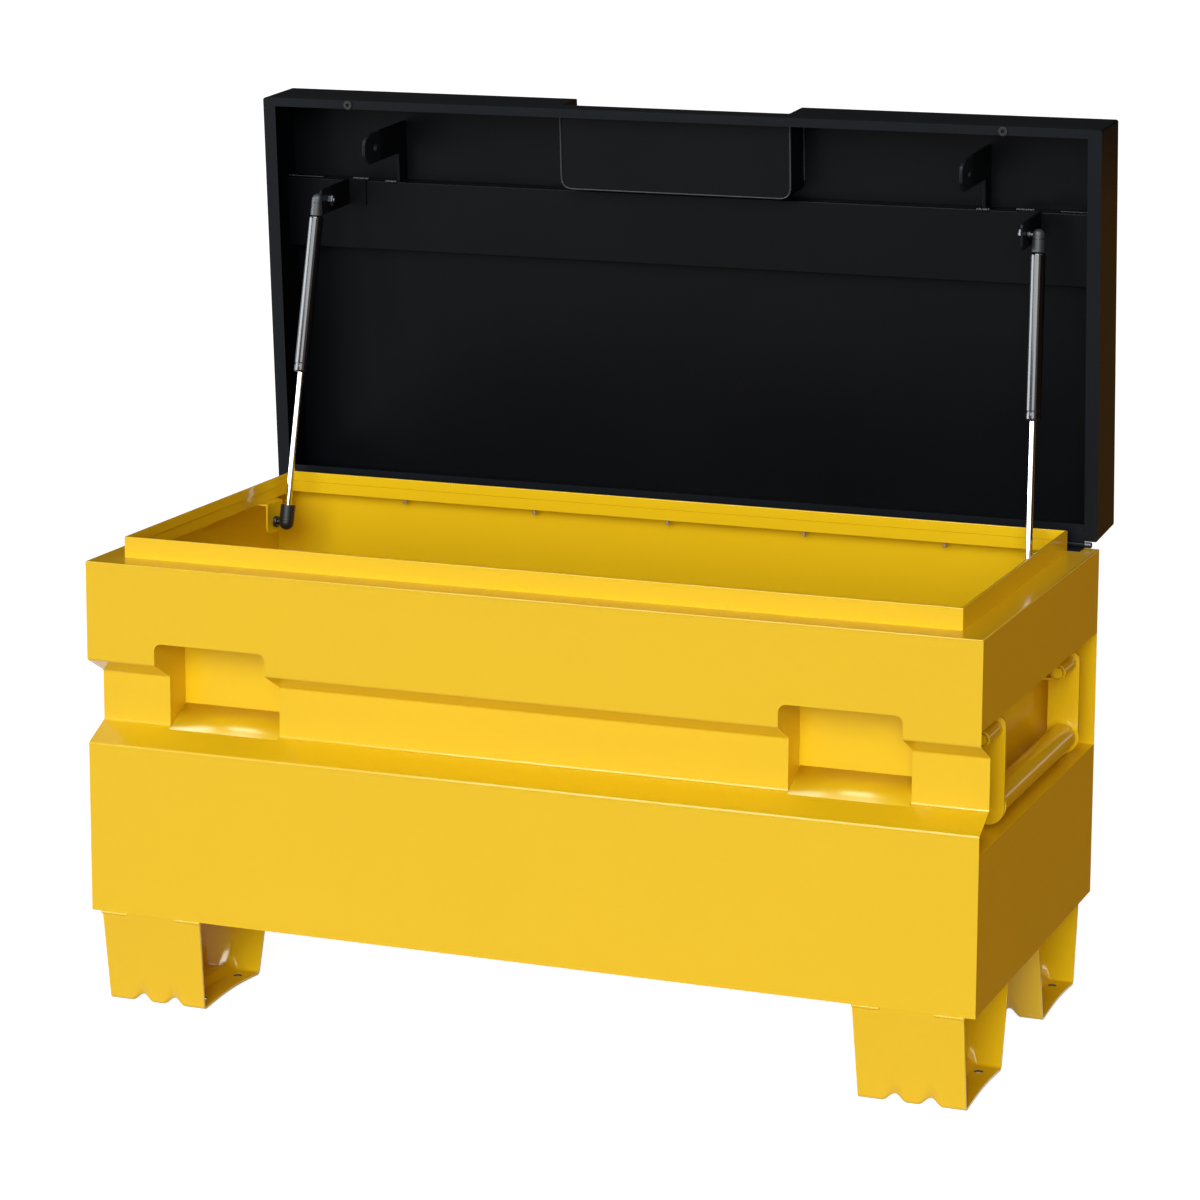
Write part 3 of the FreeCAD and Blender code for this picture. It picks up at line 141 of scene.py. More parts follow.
def shade_evenly(thing):
    """Smooth curves and flat flats."""
    thing.data.shade_smooth()
    thing.data.set_sharp_from_angle(angle=math.radians(40))
    even = thing.modifiers.new("even_shading", "WEIGHTED_NORMAL")
    even.keep_sharp = True


def piece(name, mesh, body, paint, slot, *stands_for):
    """The finished mesh as a piece that rides on its body."""
    data = bpy.data.meshes.new(name)
    mesh.to_mesh(data)
    mesh.free()
    data.materials.append(paint)
    thing = bpy.data.objects.new(name, data)
    scene.collection.objects.link(thing)
    shade_evenly(thing)
    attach(thing, body)
    if stands_for:
        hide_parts(*stands_for)
    return thing


def settle(thing):
    """The piece with its modifiers made part of its mesh."""
    bpy.context.view_layer.update()
    graph = bpy.context.evaluated_depsgraph_get()
    done = bpy.data.meshes.new_from_object(thing.evaluated_get(graph))
    thing.modifiers.clear()
    thing.data = done


def cut_out(thing, tool):
    """The tool's form taken out of the piece."""
    block = bpy.data.meshes.new("cutter")
    tool.to_mesh(block)
    tool.free()
    cutter = bpy.data.objects.new("cutter", block)
    scene.collection.objects.link(cutter)
    taken = thing.modifiers.new("cut", "BOOLEAN")
    taken.operation = "DIFFERENCE"
    taken.solver = "EXACT"
    taken.object = cutter
    settle(thing)
    bpy.data.objects.remove(cutter)


def ease_raw_edges(thing, width, chosen=None):
    """Raw edges just eased by the coat, over a mesh whose folds are already round."""
    mesh = bmesh.new()
    mesh.from_mesh(thing.data)
    ease(mesh, width, 2, 40, chosen)
    mesh.to_mesh(thing.data)
    mesh.free()
    shade_evenly(thing)


def pressed_strip(points, left, right, radius, segments):
    """A strip from left to right through the (y, z) points, with its fold lines rounded."""
    strip = bmesh.new()
    row = [strip.verts.new((left, y, z)) for y, z in points]
    for near, far in zip(row, row[1:]):
        strip.edges.new((near, far))
    swept = bmesh.ops.extrude_edge_only(strip, edges=strip.edges[:])["geom"]
    bmesh.ops.translate(strip, vec=(right - left, 0, 0),
                        verts=[part for part in swept if isinstance(part, bmesh.types.BMVert)])
    folds = [edge for edge in strip.edges if len(edge.link_faces) == 2]
    round_edges(strip, folds, radius, segments)
    return strip


def face_along(mesh, way):
    """Turns the faces of an open sheet so that on the whole they look along the way."""
    bmesh.ops.recalc_face_normals(mesh, faces=mesh.faces)
    if sum(face.normal.dot(Vector(way)) for face in mesh.faces) < 0:
        bmesh.ops.reverse_faces(mesh, faces=mesh.faces)


def sheet_piece(name, mesh, body, paint, slot, gauge, *stands_for):
    """A drawn face made a sheet of the gauge, as a piece that rides on its body."""
    thing = piece(name, mesh, body, paint, slot, *stands_for)
    thing.modifiers.clear()
    wall = thing.modifiers.new("gauge", "SOLIDIFY")
    wall.thickness = gauge
    wall.offset = -1
    wall.use_even_offset = True
    settle(thing)
    return thing


# The panel's top runs a little into the ledge, so that its eased edge leaves no groove under the fold.
# The mouths are cut a little below the waist's foot, where the slope runs on into each pocket.
HANDS, ENDS = (("right", 1), ("left", -1)), (("front", -1), ("rear", 1))
SHEET, RAW_EASE = 0.0015, 0.0004
HALF_WIDTH, FRONT, WAIST = 0.5335, -0.253, -0.215
LOWER_FOLD, WAIST_FOOT, WAIST_HEAD, UPPER_FOLD, WALL_TOP = 0.314, 0.3326, 0.3915, 0.412, 0.527
FOOT_HEIGHT, INTO_LEDGE = 0.112, 0.0004
FOLDS = ((FRONT, FOOT_HEIGHT), (FRONT, LOWER_FOLD), (WAIST, WAIST_FOOT), (WAIST, WAIST_HEAD),
         (FRONT, UPPER_FOLD), (FRONT, WALL_TOP + INTO_LEDGE))
POCKET_MIDDLE, MOUTH_WIDTH, MOUTH_FOOT, MOUTH_HEAD, MOUTH_CORNER = 0.3768, 0.14, 0.3312, 0.438, 0.009
CUTTER_MIDDLE, CUTTER_DEPTH = -0.235, 0.06
front = pressed_strip(FOLDS, -HALF_WIDTH, HALF_WIDTH, radius=0.0022, segments=5)
face_along(front, (0, -1, 0))
front = sheet_piece("front_panel_sheet", front, "body", yellow_paint, "yellow_paint", SHEET, "front_panel")
for side in (-1, 1):
    mouth = bmesh.new()
    bmesh.ops.create_cube(mouth, size=1, matrix=Matrix.Translation(
        (side * POCKET_MIDDLE, CUTTER_MIDDLE, (MOUTH_FOOT + MOUTH_HEAD) / 2))
                          @ Matrix.Diagonal((MOUTH_WIDTH, CUTTER_DEPTH, MOUTH_HEAD - MOUTH_FOOT, 1)))
    corners = [edge for edge in mouth.edges
               if min(vertex.co.z for vertex in edge.verts) > MOUTH_HEAD - MOUTH_CORNER
               and abs(edge.verts[0].co.y - edge.verts[1].co.y) > CUTTER_DEPTH / 2]
    round_edges(mouth, corners, MOUTH_CORNER, 8)
    cut_out(front, mouth)


def off_mouth_foot(edge):
    """Whether the edge isn't a mouth's lower one, where the slope runs on into the pocket."""
    rise = max(abs(vertex.co.z - MOUTH_FOOT) for vertex in edge.verts)
    aside = max(abs(abs(vertex.co.x) - POCKET_MIDDLE) for vertex in edge.verts)
    return rise > 0.0012 or aside > MOUTH_WIDTH / 2 + 0.0001


ease_raw_edges(front, RAW_EASE, off_mouth_foot)

# Rear sheet, side sheets and floor pan: folded steel, welded at the corners.
# Their raw edges are only just eased by the coat.
for name in ("rear_panel", "right_side_panel", "left_side_panel", "floor_panel"):
    sheet = clean_copy(name)
    for vertex in sheet.verts:
        if vertex.co.z > WALL_TOP - 0.0005:
            vertex.co.z += INTO_LEDGE
    ease(sheet, RAW_EASE, 2)
    piece(name + "_sheet", sheet, "body", yellow_paint, "yellow_paint", name)

# Ledge and coaming: the rim that closes the walls' tops and keeps the rain out under the lid.
# The ledge is folded over the walls in a small round, and the coaming's top edge is hemmed inwards.
LEDGE_TOP, LEDGE_FOLD = 0.5285, 0.00145
HEM_FOOT, HEM_ROUND, COAMING_ROOT = 0.5525, 0.0009, 0.5515
ledge = clean_copy("rim_ledge")
ease(ledge, LEDGE_FOLD, 6, 30, lambda edge: min(vertex.co.z for vertex in edge.verts) > LEDGE_TOP - 0.0001
     and (min(abs(vertex.co.x) for vertex in edge.verts) > HALF_WIDTH - 0.0005
          or min(abs(vertex.co.y) for vertex in edge.verts) > -FRONT - 0.0005))
piece("rim_ledge_fold", ledge, "body", yellow_paint, "yellow_paint", "rim_ledge")
coaming = clean_copy("rim_coaming")
ease(coaming, HEM_ROUND, 4, 30, lambda edge: min(vertex.co.z for vertex in edge.verts) > HEM_FOOT)
ease(coaming, RAW_EASE, 2, 60, lambda edge: max(vertex.co.z for vertex in edge.verts) < COAMING_ROOT)
piece("rim_coaming_hem", coaming, "body", yellow_paint, "yellow_paint", "rim_coaming")

# Padlock pockets and their staples: welded housings behind the front panel's mouths.
# A tongue of the panel's lower slope runs on inwards as each housing's floor, over a fine gap.
SLOPE = (WAIST_FOOT - LOWER_FOLD) / (WAIST - FRONT)
TONGUE_HALF_WIDTH, TONGUE_RUN, TONGUE_GAUGE, TONGUE_LIFT = 0.069, (-0.2205, -0.1765), 0.001, 0.00003
FLOOR_DROP, FLOOR_FRONT, FLOOR_HALF_WIDTH = 0.0013, -0.2137, 0.0705
pocket_paint = powder_coat("yellow_pocket_coat", YELLOW, roughness=0.3, ior=1.38,
                           peel_size=0.0016, peel_depth=0.00001, drift=0.02)


def slope_height(y):
    """How high the panel's lower slope, carried on inwards, lies at the place y."""
    return WAIST_FOOT + (y - WAIST) * SLOPE


for hand, outward in HANDS:
    pocket = clean_copy(f"{hand}_padlock_pocket")
    for vertex in pocket.verts:
        if (abs(vertex.co.z - slope_height(vertex.co.y)) < 0.0003 and vertex.co.y > FLOOR_FRONT
                and abs(abs(vertex.co.x) - POCKET_MIDDLE) < FLOOR_HALF_WIDTH):
            vertex.co.z -= FLOOR_DROP
    ease(pocket, 0.00015, 2)
    piece(f"{hand}_padlock_pocket_plate", pocket, "body", pocket_paint, "yellow_paint",
          f"{hand}_padlock_pocket")
    staple = clean_copy(f"{hand}_lock_staple")
    ease(staple, 0.0005, 3)
    piece(f"{hand}_lock_staple_plate", staple, "body", yellow_paint, "yellow_paint", f"{hand}_lock_staple")
    tongue = pressed_strip([(y, slope_height(y) + TONGUE_LIFT) for y in TONGUE_RUN],
                           outward * (POCKET_MIDDLE - TONGUE_HALF_WIDTH),
                           outward * (POCKET_MIDDLE + TONGUE_HALF_WIDTH), radius=0, segments=1)
    face_along(tongue, (0, 0, 1))
    sheet_piece(f"{hand}_pocket_floor_tongue", tongue, "body", pocket_paint, "yellow_paint", TONGUE_GAUGE)

# Feet: 3 mm channels, each with two ribs pressed across the sole and up both walls, and four caster holes.
# Each is welded to the floor of the body by short runs at its upper corners.
FOOT_INNER, FOOT_OUTER, SOLE_NEAR, SOLE_FAR, FOOT_PLATE = 0.3945, 0.5205, 0.235, 0.090, 0.003
FOOT_SECTION = ((0.252, FOOT_HEIGHT), (SOLE_NEAR, 0.0), (SOLE_FAR, 0.0), (0.061, FOOT_HEIGHT))
HOLES = [(x, y) for x in (0.4135, 0.5015) for y in (0.1175, 0.2075)]
# The last two are the radii of the painted-shade rings in the caster holes.
HOLE_RADIUS, HOLE_SHADE_OUTER, HOLE_SHADE_INNER = 0.0055, 0.0056, 0.0052
RIB_MIDDLES = (0.4365, 0.4785)
RIB_HEIGHT, RIB_REACH, RIB_FLANK, RIB_HALF_SOLE, RIB_HALF_WALL = 0.0078, 0.040, 0.0140, 0.0145, 0.0085
RIB_PUSH, RIB_PUSH_DEPTH = 0.6, 0.03
SOLE_ARCH, SOLE_CLIMB, FOOT_TAPER = 0.0042, 0.2, 0.0035
FIRST_SLICE, LAST_SLICE = 0.006, 0.042
FOOT_WELD_Y, FOOT_WELD_Z = 0.2522, 0.1106


def slice_up(mesh, axis, places):
    """Cuts across the axis at the places, so that the face can be shaped there."""
    across = [float(row == axis) for row in range(3)]
    for place in places:
        bmesh.ops.bisect_plane(mesh, geom=mesh.verts[:] + mesh.edges[:] + mesh.faces[:],
                               dist=SAME_PLACE, plane_co=[place * row for row in across], plane_no=across)


def steps(first, last, count):
    """Evenly spaced places from first to last."""
    return [first + (last - first) * row / count for row in range(count + 1)]


def arch(y):
    """How high the sole is arched at the place y."""
    return SOLE_ARCH * math.sin(math.pi * (y - SOLE_FAR) / (SOLE_NEAR - SOLE_FAR))


def press_ribs(mesh):
    """Pushes the sole up and both walls in along each rib, less and less towards the rib's ends."""
    for vertex in mesh.verts:
        climb = min(1, vertex.co.z / RIB_REACH)
        fade = (1 - climb) ** 2
        half = RIB_HALF_SOLE + (RIB_HALF_WALL - RIB_HALF_SOLE) * climb
        lift = 0
        for middle in RIB_MIDDLES:
            near = min(1, max(0, (half - abs(vertex.co.x - middle)) / RIB_FLANK))
            lift += RIB_HEIGHT * fade * near * near * (3 - 2 * near)
        start = vertex.co.y
        for bend, inward in ((SOLE_NEAR, -1), (SOLE_FAR, 1)):
            depth = max(0, (start - bend) * inward)
            vertex.co.y += inward * RIB_PUSH * lift * max(0, 1 - depth / RIB_PUSH_DEPTH)
        if SOLE_FAR < start < SOLE_NEAR and climb < SOLE_CLIMB:
            lift += arch(start)
        vertex.co.x += (FOOT_TAPER * (FOOT_OUTER - vertex.co.x) / (FOOT_OUTER - FOOT_INNER)
                        * (1 - vertex.co.z / FOOT_HEIGHT))
        vertex.co.z += lift


for end, rearward in ENDS:
    for hand, outward in HANDS:
        channel = pressed_strip(FOOT_SECTION, FOOT_INNER, FOOT_OUTER, radius=0.0055, segments=6)
        for middle in RIB_MIDDLES:
            slice_up(channel, 0, steps(middle - RIB_HALF_SOLE, middle + RIB_HALF_SOLE, 28))
        slice_up(channel, 2, steps(FIRST_SLICE, LAST_SLICE, 18))
        slice_up(channel, 1, steps(SOLE_FAR + FIRST_SLICE, SOLE_NEAR - FIRST_SLICE, 28))
        press_ribs(channel)
        bmesh.ops.transform(channel, matrix=Matrix.Diagonal((outward, rearward, 1, 1)), verts=channel.verts)
        face_along(channel, (0, 0, -1))
        foot = sheet_piece(f"{end}_{hand}_channel_foot", channel, "body", yellow_paint, "yellow_paint",
                           FOOT_PLATE, f"{end}_{hand}_foot")
        holes = bmesh.new()
        for x, y in HOLES:
            bmesh.ops.create_cone(holes, cap_ends=True, segments=32, radius1=HOLE_RADIUS,
                                  radius2=HOLE_RADIUS, depth=0.02,
                                  matrix=Matrix.Translation((outward * x, rearward * y, 0)))
        cut_out(foot, holes)
        ease_raw_edges(foot, 0.0005)


def weld_run(name, start, end, width, body, paint, slot):
    """A run of weld: flat drops that overlap in a row from start to end."""
    start, end = Vector(start), Vector(end)
    run = end - start
    count = max(2, round(run.length / (width * 0.4)))
    bead = bmesh.new()
    for row in range(count + 1):
        sway = 0.05 * width * math.sin(2.4 * row)
        swell = 1 + 0.06 * math.sin(1.7 * row)
        drop = Matrix.Translation(start + run * row / count + Vector((sway, sway, sway)))
        bmesh.ops.create_icosphere(bead, subdivisions=2, radius=width / 2 * swell, matrix=drop)
    return piece(name, bead, body, paint, slot)


for end, rearward in ENDS:
    for hand, outward in HANDS:
        for spot, first, length in (("outer", 0.489, 0.031), ("inner", 0.3955, 0.029)):
            start, finish = [(outward * x, rearward * FOOT_WELD_Y, FOOT_WELD_Z) for x in (first, first + length)]
            weld_run(f"{end}_{hand}_foot_{spot}_weld", start, finish, 0.0038,
                     "body", yellow_paint, "yellow_paint")

# Strut brackets, handle loops and drop handles: bent plate, rolled strap and tube, all yellow.
# The plates' corners are eased, and a ring of weld joins each arm to the grip's tube.


def lathed(profile, turns=48):
    """A form turned about Z through the (radius, height) points."""
    form = bmesh.new()
    row = [form.verts.new((radius, 0, height)) for radius, height in profile]
    for near, far in zip(row, row[1:]):
        form.edges.new((near, far))
    bmesh.ops.spin(form, geom=form.verts[:] + form.edges[:], cent=(0, 0, 0), axis=(0, 0, 1), dvec=(0, 0, 0),
                   angle=math.tau, steps=turns, use_merge=True)
    bmesh.ops.remove_doubles(form, verts=form.verts, dist=SAME_PLACE)
    bmesh.ops.recalc_face_normals(form, faces=form.faces)
    return form


PIVOT_PIN = ((0, 0), (0.0058, 0), (0.0062, 0.0004), (0.0062, 0.0045), (0.0075, 0.0045),
             (0.0075, 0.0003), (0.0077, 0), (0.0081, 0), (0.0083, 0.0003), (0.0083, 0.0065),
             (0.0070, 0.0020), (0.0070, 0.0589), (0.0065, 0.0594), (0, 0.0594))
GRIP_FILLET = ((0.0158, 0.0032), (0.0166, 0.0022), (0.0176, 0.0012), (0.0192, 0.0), (0.0158, -0.0004),
               (0.0158, 0.0032))
GRIP_X, GRIP_Z = 0.512, 0.317
LOOP_WELD_X, LOOP_WELD_Z, LOOP_WELD_HALF = 0.4862, 0.3985, 0.024
for hand, outward in HANDS:
    for name in ("lower_strut_bracket", "front_handle_loop", "rear_handle_loop"):
        part = clean_copy(f"{hand}_{name}")
        ease(part, 0.0005, 3)
        piece(f"{hand}_{name}_plate", part, "body", yellow_paint, "yellow_paint", f"{hand}_{name}")
    for end in ("front", "rear"):
        low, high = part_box(f"{hand}_handle_{end}_pin")
        pin = lathed(PIVOT_PIN)
        bmesh.ops.transform(pin, verts=pin.verts, matrix=Matrix.Translation(
            ((low[0] + high[0]) / 2, low[1], (low[2] + high[2]) / 2))
                            @ Matrix.Rotation(-math.pi / 2, 4, "X"))
        piece(f"{hand}_drop_handle_{end}_pin", pin, f"{hand}_handle", yellow_paint, "yellow_paint",
              f"{hand}_handle_{end}_pin")
    for name in ("front_arm", "rear_arm", "grip"):
        part = clean_copy(f"{hand}_handle_{name}")
        ease(part, 0.0008, 3)
        piece(f"{hand}_drop_handle_{name}", part, f"{hand}_handle", yellow_paint, "yellow_paint",
              f"{hand}_handle_{name}")
    for end, face, inward in (("front", -0.1365, 1), ("rear", 0.1845, -1)):
        fillet = lathed(GRIP_FILLET, 64)
        bmesh.ops.transform(fillet, matrix=Matrix.Translation((outward * GRIP_X, face, GRIP_Z))
                            @ Matrix.Rotation(-inward * math.pi / 2, 4, "X"), verts=fillet.verts)
        piece(f"{hand}_{end}_grip_weld", fillet, f"{hand}_handle", yellow_paint, "yellow_paint")
    for end, middle in (("front", -0.1677), ("rear", 0.1583)):
        start, finish = [(outward * LOOP_WELD_X, y, LOOP_WELD_Z)
                         for y in (middle - LOOP_WELD_HALF, middle + LOOP_WELD_HALF)]
        weld_run(f"{hand}_{end}_loop_weld", start, finish, 0.004, "body", yellow_paint, "yellow_paint")

# Lid: a folded shell with a channel stiffener, a welded tray for the hand notch, and two lock tabs.
# All of it is black powder coat with a fine, dull texture, and the stiffener's load points are welded.
# The coat is darkened by painted shade from the open lid's rim in towards its skin.
OPENED = math.radians(86.1)
PIN_Y, PIN_Z = 0.253, 0.532
BLACK = (0.0082, 0.0110, 0.0150, 1)


def paint_shade_inwards(paint, tones):
    """Painted shade, darker from the open lid's rim in to its skin, by tones of (depth in metres, tone)."""
    tree = paint.node_tree
    coat = tree.nodes["Principled BSDF"]
    rise = tree.nodes.new("ShaderNodeVectorMath")
    rise.operation = "DOT_PRODUCT"
    rise.inputs[1].default_value = (0, math.sin(OPENED), math.cos(OPENED))
    reach = tones[-1][0]
    start = PIN_Y * math.sin(OPENED) + PIN_Z * math.cos(OPENED)
    depth = tree.nodes.new("ShaderNodeMapRange")
    depth.inputs["From Min"].default_value = start
    depth.inputs["From Max"].default_value = start + reach
    ramp = tree.nodes.new("ShaderNodeValToRGB")
    while len(ramp.color_ramp.elements) < len(tones):
        ramp.color_ramp.elements.new(0.5)
    for stop, (place, tone) in zip(ramp.color_ramp.elements, tones):
        stop.position = place / reach
        stop.color = (tone, tone, tone, 1)
    # Multiplies the coat's colour by the tone: this is painted shade.
    dull = tree.nodes.new("ShaderNodeMix")
    dull.data_type = "RGBA"
    dull.blend_type = "MULTIPLY"
    dull.inputs["Factor"].default_value = 1
    tree.links.new(tree.nodes.new("ShaderNodeTexCoord").outputs["Object"], rise.inputs[0])
    tree.links.new(rise.outputs["Value"], depth.inputs["Value"])
    tree.links.new(depth.outputs["Result"], ramp.inputs["Fac"])
    tree.links.new(coat.inputs["Base Color"].links[0].from_socket, dull.inputs["A"])
    tree.links.new(ramp.outputs["Color"], dull.inputs["B"])
    tree.links.new(dull.outputs["Result"], coat.inputs["Base Color"])


def between_broad_faces(edge):
    """Whether the edge is a fold or weld between two plates, not the raw edge of one."""
    return min(2 * face.calc_area() / face.calc_perimeter() for face in edge.link_faces) > 0.002


black_paint = powder_coat("black_fine_texture", BLACK, roughness=0.32, ior=1.15,
                          peel_size=0.0009, peel_depth=0.00004, drift=0.08)
# Painted shade: the coat drops to about a third of its colour within 4 mm of the rim.
paint_shade_inwards(black_paint, ((0.0, 1.0), (0.004, 0.38), (0.08, 0.34)))
for name, fold, raw in (("lid_shell", 0.0014, 0.0004), ("lid_notch_tray", 0.0006, 0.0003),
                        ("lid_stiffener", 0.0011, 0.0003), ("right_lock_tab", 0.0006, 0.0005),
                        ("left_lock_tab", 0.0006, 0.0005), ("right_upper_strut_bracket", 0.0012, 0.0004),
                        ("left_upper_strut_bracket", 0.0012, 0.0004)):
    part = clean_copy(name)
    ease(part, fold, 4, 35, between_broad_faces)
    ease(part, raw, 2, 35, lambda edge: not between_broad_faces(edge))
    piece(name + "_coated", part, "lid", black_paint, "black_paint", name)


def on_lid(across, reach, rise):
    """Where the open lid has a place that lies so far from the pin along it and above its rim."""
    return (across, PIN_Y - reach * math.cos(OPENED) + rise * math.sin(OPENED),
            PIN_Z + reach * math.sin(OPENED) + rise * math.cos(OPENED))


TRAY_RIM, TRAY_BEAD = 0.0290, 0.0026
CORNER_X, CORNER_REACH, CORNER_RADIUS = 0.1347, 0.402, 0.012
weld_paint = powder_coat("black_weld_bead", (0.010, 0.012, 0.014, 1), roughness=0.28, ior=1.3,
                         peel_size=0.0009, peel_depth=0.00004, drift=0.1)
for name, first, last, width in (
        ("right_tab_weld", (0.3695, 0.3834, 0.0556), (0.3825, 0.3834, 0.0556), 0.0050),
        ("left_tab_weld", (-0.3930, 0.3834, 0.0556), (-0.3800, 0.3834, 0.0556), 0.0050),
        ("right_bracket_weld", (0.4180, 0.3857, 0.0548), (0.4370, 0.3857, 0.0548), 0.0042),
        ("left_bracket_weld", (-0.4180, 0.3857, 0.0548), (-0.4370, 0.3857, 0.0548), 0.0042),
        ("right_tray_weld", (0.1467, 0.4030, TRAY_RIM), (0.1467, 0.4880, TRAY_RIM), TRAY_BEAD),
        ("left_tray_weld", (-0.1467, 0.4030, TRAY_RIM), (-0.1467, 0.4880, TRAY_RIM), TRAY_BEAD),
        ("rear_tray_weld", (-0.1340, 0.3900, TRAY_RIM), (0.1340, 0.3900, TRAY_RIM), TRAY_BEAD),
        ("right_tray_root_weld", (0.1472, 0.4050, 0.0795), (0.1472, 0.4850, 0.0795), 0.0030),
        ("left_tray_root_weld", (-0.1472, 0.4050, 0.0795), (-0.1472, 0.4850, 0.0795), 0.0030),
        ("right_stiffener_weld", (0.4700, 0.3852, 0.0560), (0.5270, 0.3852, 0.0560), 0.0016),
        ("left_stiffener_weld", (-0.4800, 0.3852, 0.0560), (-0.5270, 0.3852, 0.0560), 0.0016)):
    weld_run(name, on_lid(*first), on_lid(*last), width, "lid", weld_paint, "black_paint")
for hand, outward in HANDS:
    arc = [(outward * (CORNER_X + CORNER_RADIUS * math.cos(turn)),
            CORNER_REACH - CORNER_RADIUS * math.sin(turn), TRAY_RIM)
           for turn in (0, math.pi / 6, math.pi / 3, math.pi / 2)]
    for step, (first, last) in enumerate(zip(arc, arc[1:])):
        weld_run(f"{hand}_tray_corner_weld_{step + 1}", on_lid(*first), on_lid(*last), TRAY_BEAD,
                 "lid", weld_paint, "black_paint")
    for end, first, last in (("front", (0.5290, 0.4905), (0.5160, 0.4828)),
                             ("rear", (0.5290, 0.0065), (0.5160, 0.0235))):
        start, finish = [on_lid(outward * across, reach, -0.0003) for across, reach in (first, last)]
        weld_run(f"{hand}_{end}_flange_seam", start, finish, 0.0014, "lid", black_paint, "black_paint")

# Rubber buttons: two moulded washers that the closed lid lands on.
# They are matt black rubber, pressed on to the lid's front flange.
rubber = powder_coat("moulded_rubber", (0.007, 0.007, 0.007, 1), roughness=0.7, ior=1.3,
                     peel_size=0.0008, peel_depth=0.00003, drift=0.1)
buttons = clean_copy("lid_bumpers")
ease(buttons, 0.0006, 3, 40)
piece("lid_rubber_buttons", buttons, "lid", rubber, "rubber", "lid_bumpers")

# Hinge: black leaves with rolled knuckles, a dark pin with a head at each end, and bright studs.
# The leaves are screwed to the ledge and to the lid's rear flange.


def plated(name, colour, roughness, grain, depth):
    """Bare or plated metal with a fine grain that roughens it here and there."""
    metal = bpy.data.materials.new(name)
    metal.use_nodes = True
    tree = metal.node_tree
    skin = tree.nodes["Principled BSDF"]
    skin.inputs["Base Color"].default_value = colour
    skin.inputs["Metallic"].default_value = 1
    place = tree.nodes.new("ShaderNodeTexCoord").outputs["Object"]
    fleck = tree.nodes.new("ShaderNodeTexNoise")
    fleck.inputs["Scale"].default_value = 1 / grain
    fleck.inputs["Detail"].default_value = 3
    dull = tree.nodes.new("ShaderNodeMapRange")
    dull.inputs["To Min"].default_value = roughness * 0.7
    dull.inputs["To Max"].default_value = roughness * 1.3
    bump = tree.nodes.new("ShaderNodeBump")
    bump.inputs["Distance"].default_value = depth
    tree.links.new(place, fleck.inputs["Vector"])
    tree.links.new(fleck.outputs["Fac"], dull.inputs["Value"])
    tree.links.new(fleck.outputs["Fac"], bump.inputs["Height"])
    tree.links.new(dull.outputs["Result"], skin.inputs["Roughness"])
    tree.links.new(bump.outputs["Normal"], skin.inputs["Normal"])
    return metal


zinc = plated("bright_zinc", (0.62, 0.62, 0.60, 1), roughness=0.3, grain=0.002, depth=0.00001)
dark_zinc = plated("black_zinc", (0.05, 0.05, 0.052, 1), roughness=0.35, grain=0.002, depth=0.00001)
for name, body in (("hinge_lower_leaf", "body"), ("hinge_upper_leaf", "lid")):
    leaf = clean_copy(name)
    ease(leaf, 0.0002, 2, 50)
    piece(name + "_coated", leaf, body, black_paint, "black_paint", name)
low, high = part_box("hinge_pin")
HEAD_RADIUS, HEAD_LENGTH, TIP_RADIUS = 0.0036, 0.0082, 0.0026
length, pin_radius = high[0] - low[0], high[1] - PIN_Y
pin = lathed(((0, 0), (TIP_RADIUS, 0), (HEAD_RADIUS, 0.0008), (HEAD_RADIUS, 0.0078),
              (pin_radius, HEAD_LENGTH), (pin_radius, length + HEAD_LENGTH),
              (HEAD_RADIUS, length + 0.0086), (HEAD_RADIUS, length + 0.0156),
              (TIP_RADIUS, length + 0.0164), (0, length + 0.0164)), 32)
bmesh.ops.transform(pin, verts=pin.verts, matrix=Matrix.Translation(
    (low[0] - HEAD_LENGTH, (low[1] + high[1]) / 2, (low[2] + high[2]) / 2))
                    @ Matrix.Rotation(math.pi / 2, 4, "Y"))
piece("hinge_pin_plated", pin, "body", dark_zinc, "zinc_steel", "hinge_pin")
studs = clean_copy("hinge_studs")
ease(studs, 0.0004, 3, 40)
piece("hinge_studs_plated", studs, "body", zinc, "zinc_steel", "hinge_studs")

# Caster holes: the bores through the feet's soles are painted dark, as painted shade in the holes.
# A thin dark ring of painted shade lines each of them, a little less deep than the sole is thick.
for end, rearward in ENDS:
    for hand, outward in HANDS:
        for place, (x, y) in enumerate(HOLES):
            low, high = arch(y) + 0.0005, arch(y) + 0.0025
            hole_shade = lathed(((HOLE_SHADE_OUTER, low), (HOLE_SHADE_INNER, low), (HOLE_SHADE_INNER, high), (HOLE_SHADE_OUTER, high),
                           (HOLE_SHADE_OUTER, low)), 32)
            bmesh.ops.translate(hole_shade, verts=hole_shade.verts, vec=(outward * x, rearward * y, 0))
            piece(f"{end}_{hand}_caster_bore_{place + 1}", hole_shade, "body", dark_zinc, "zinc_steel")

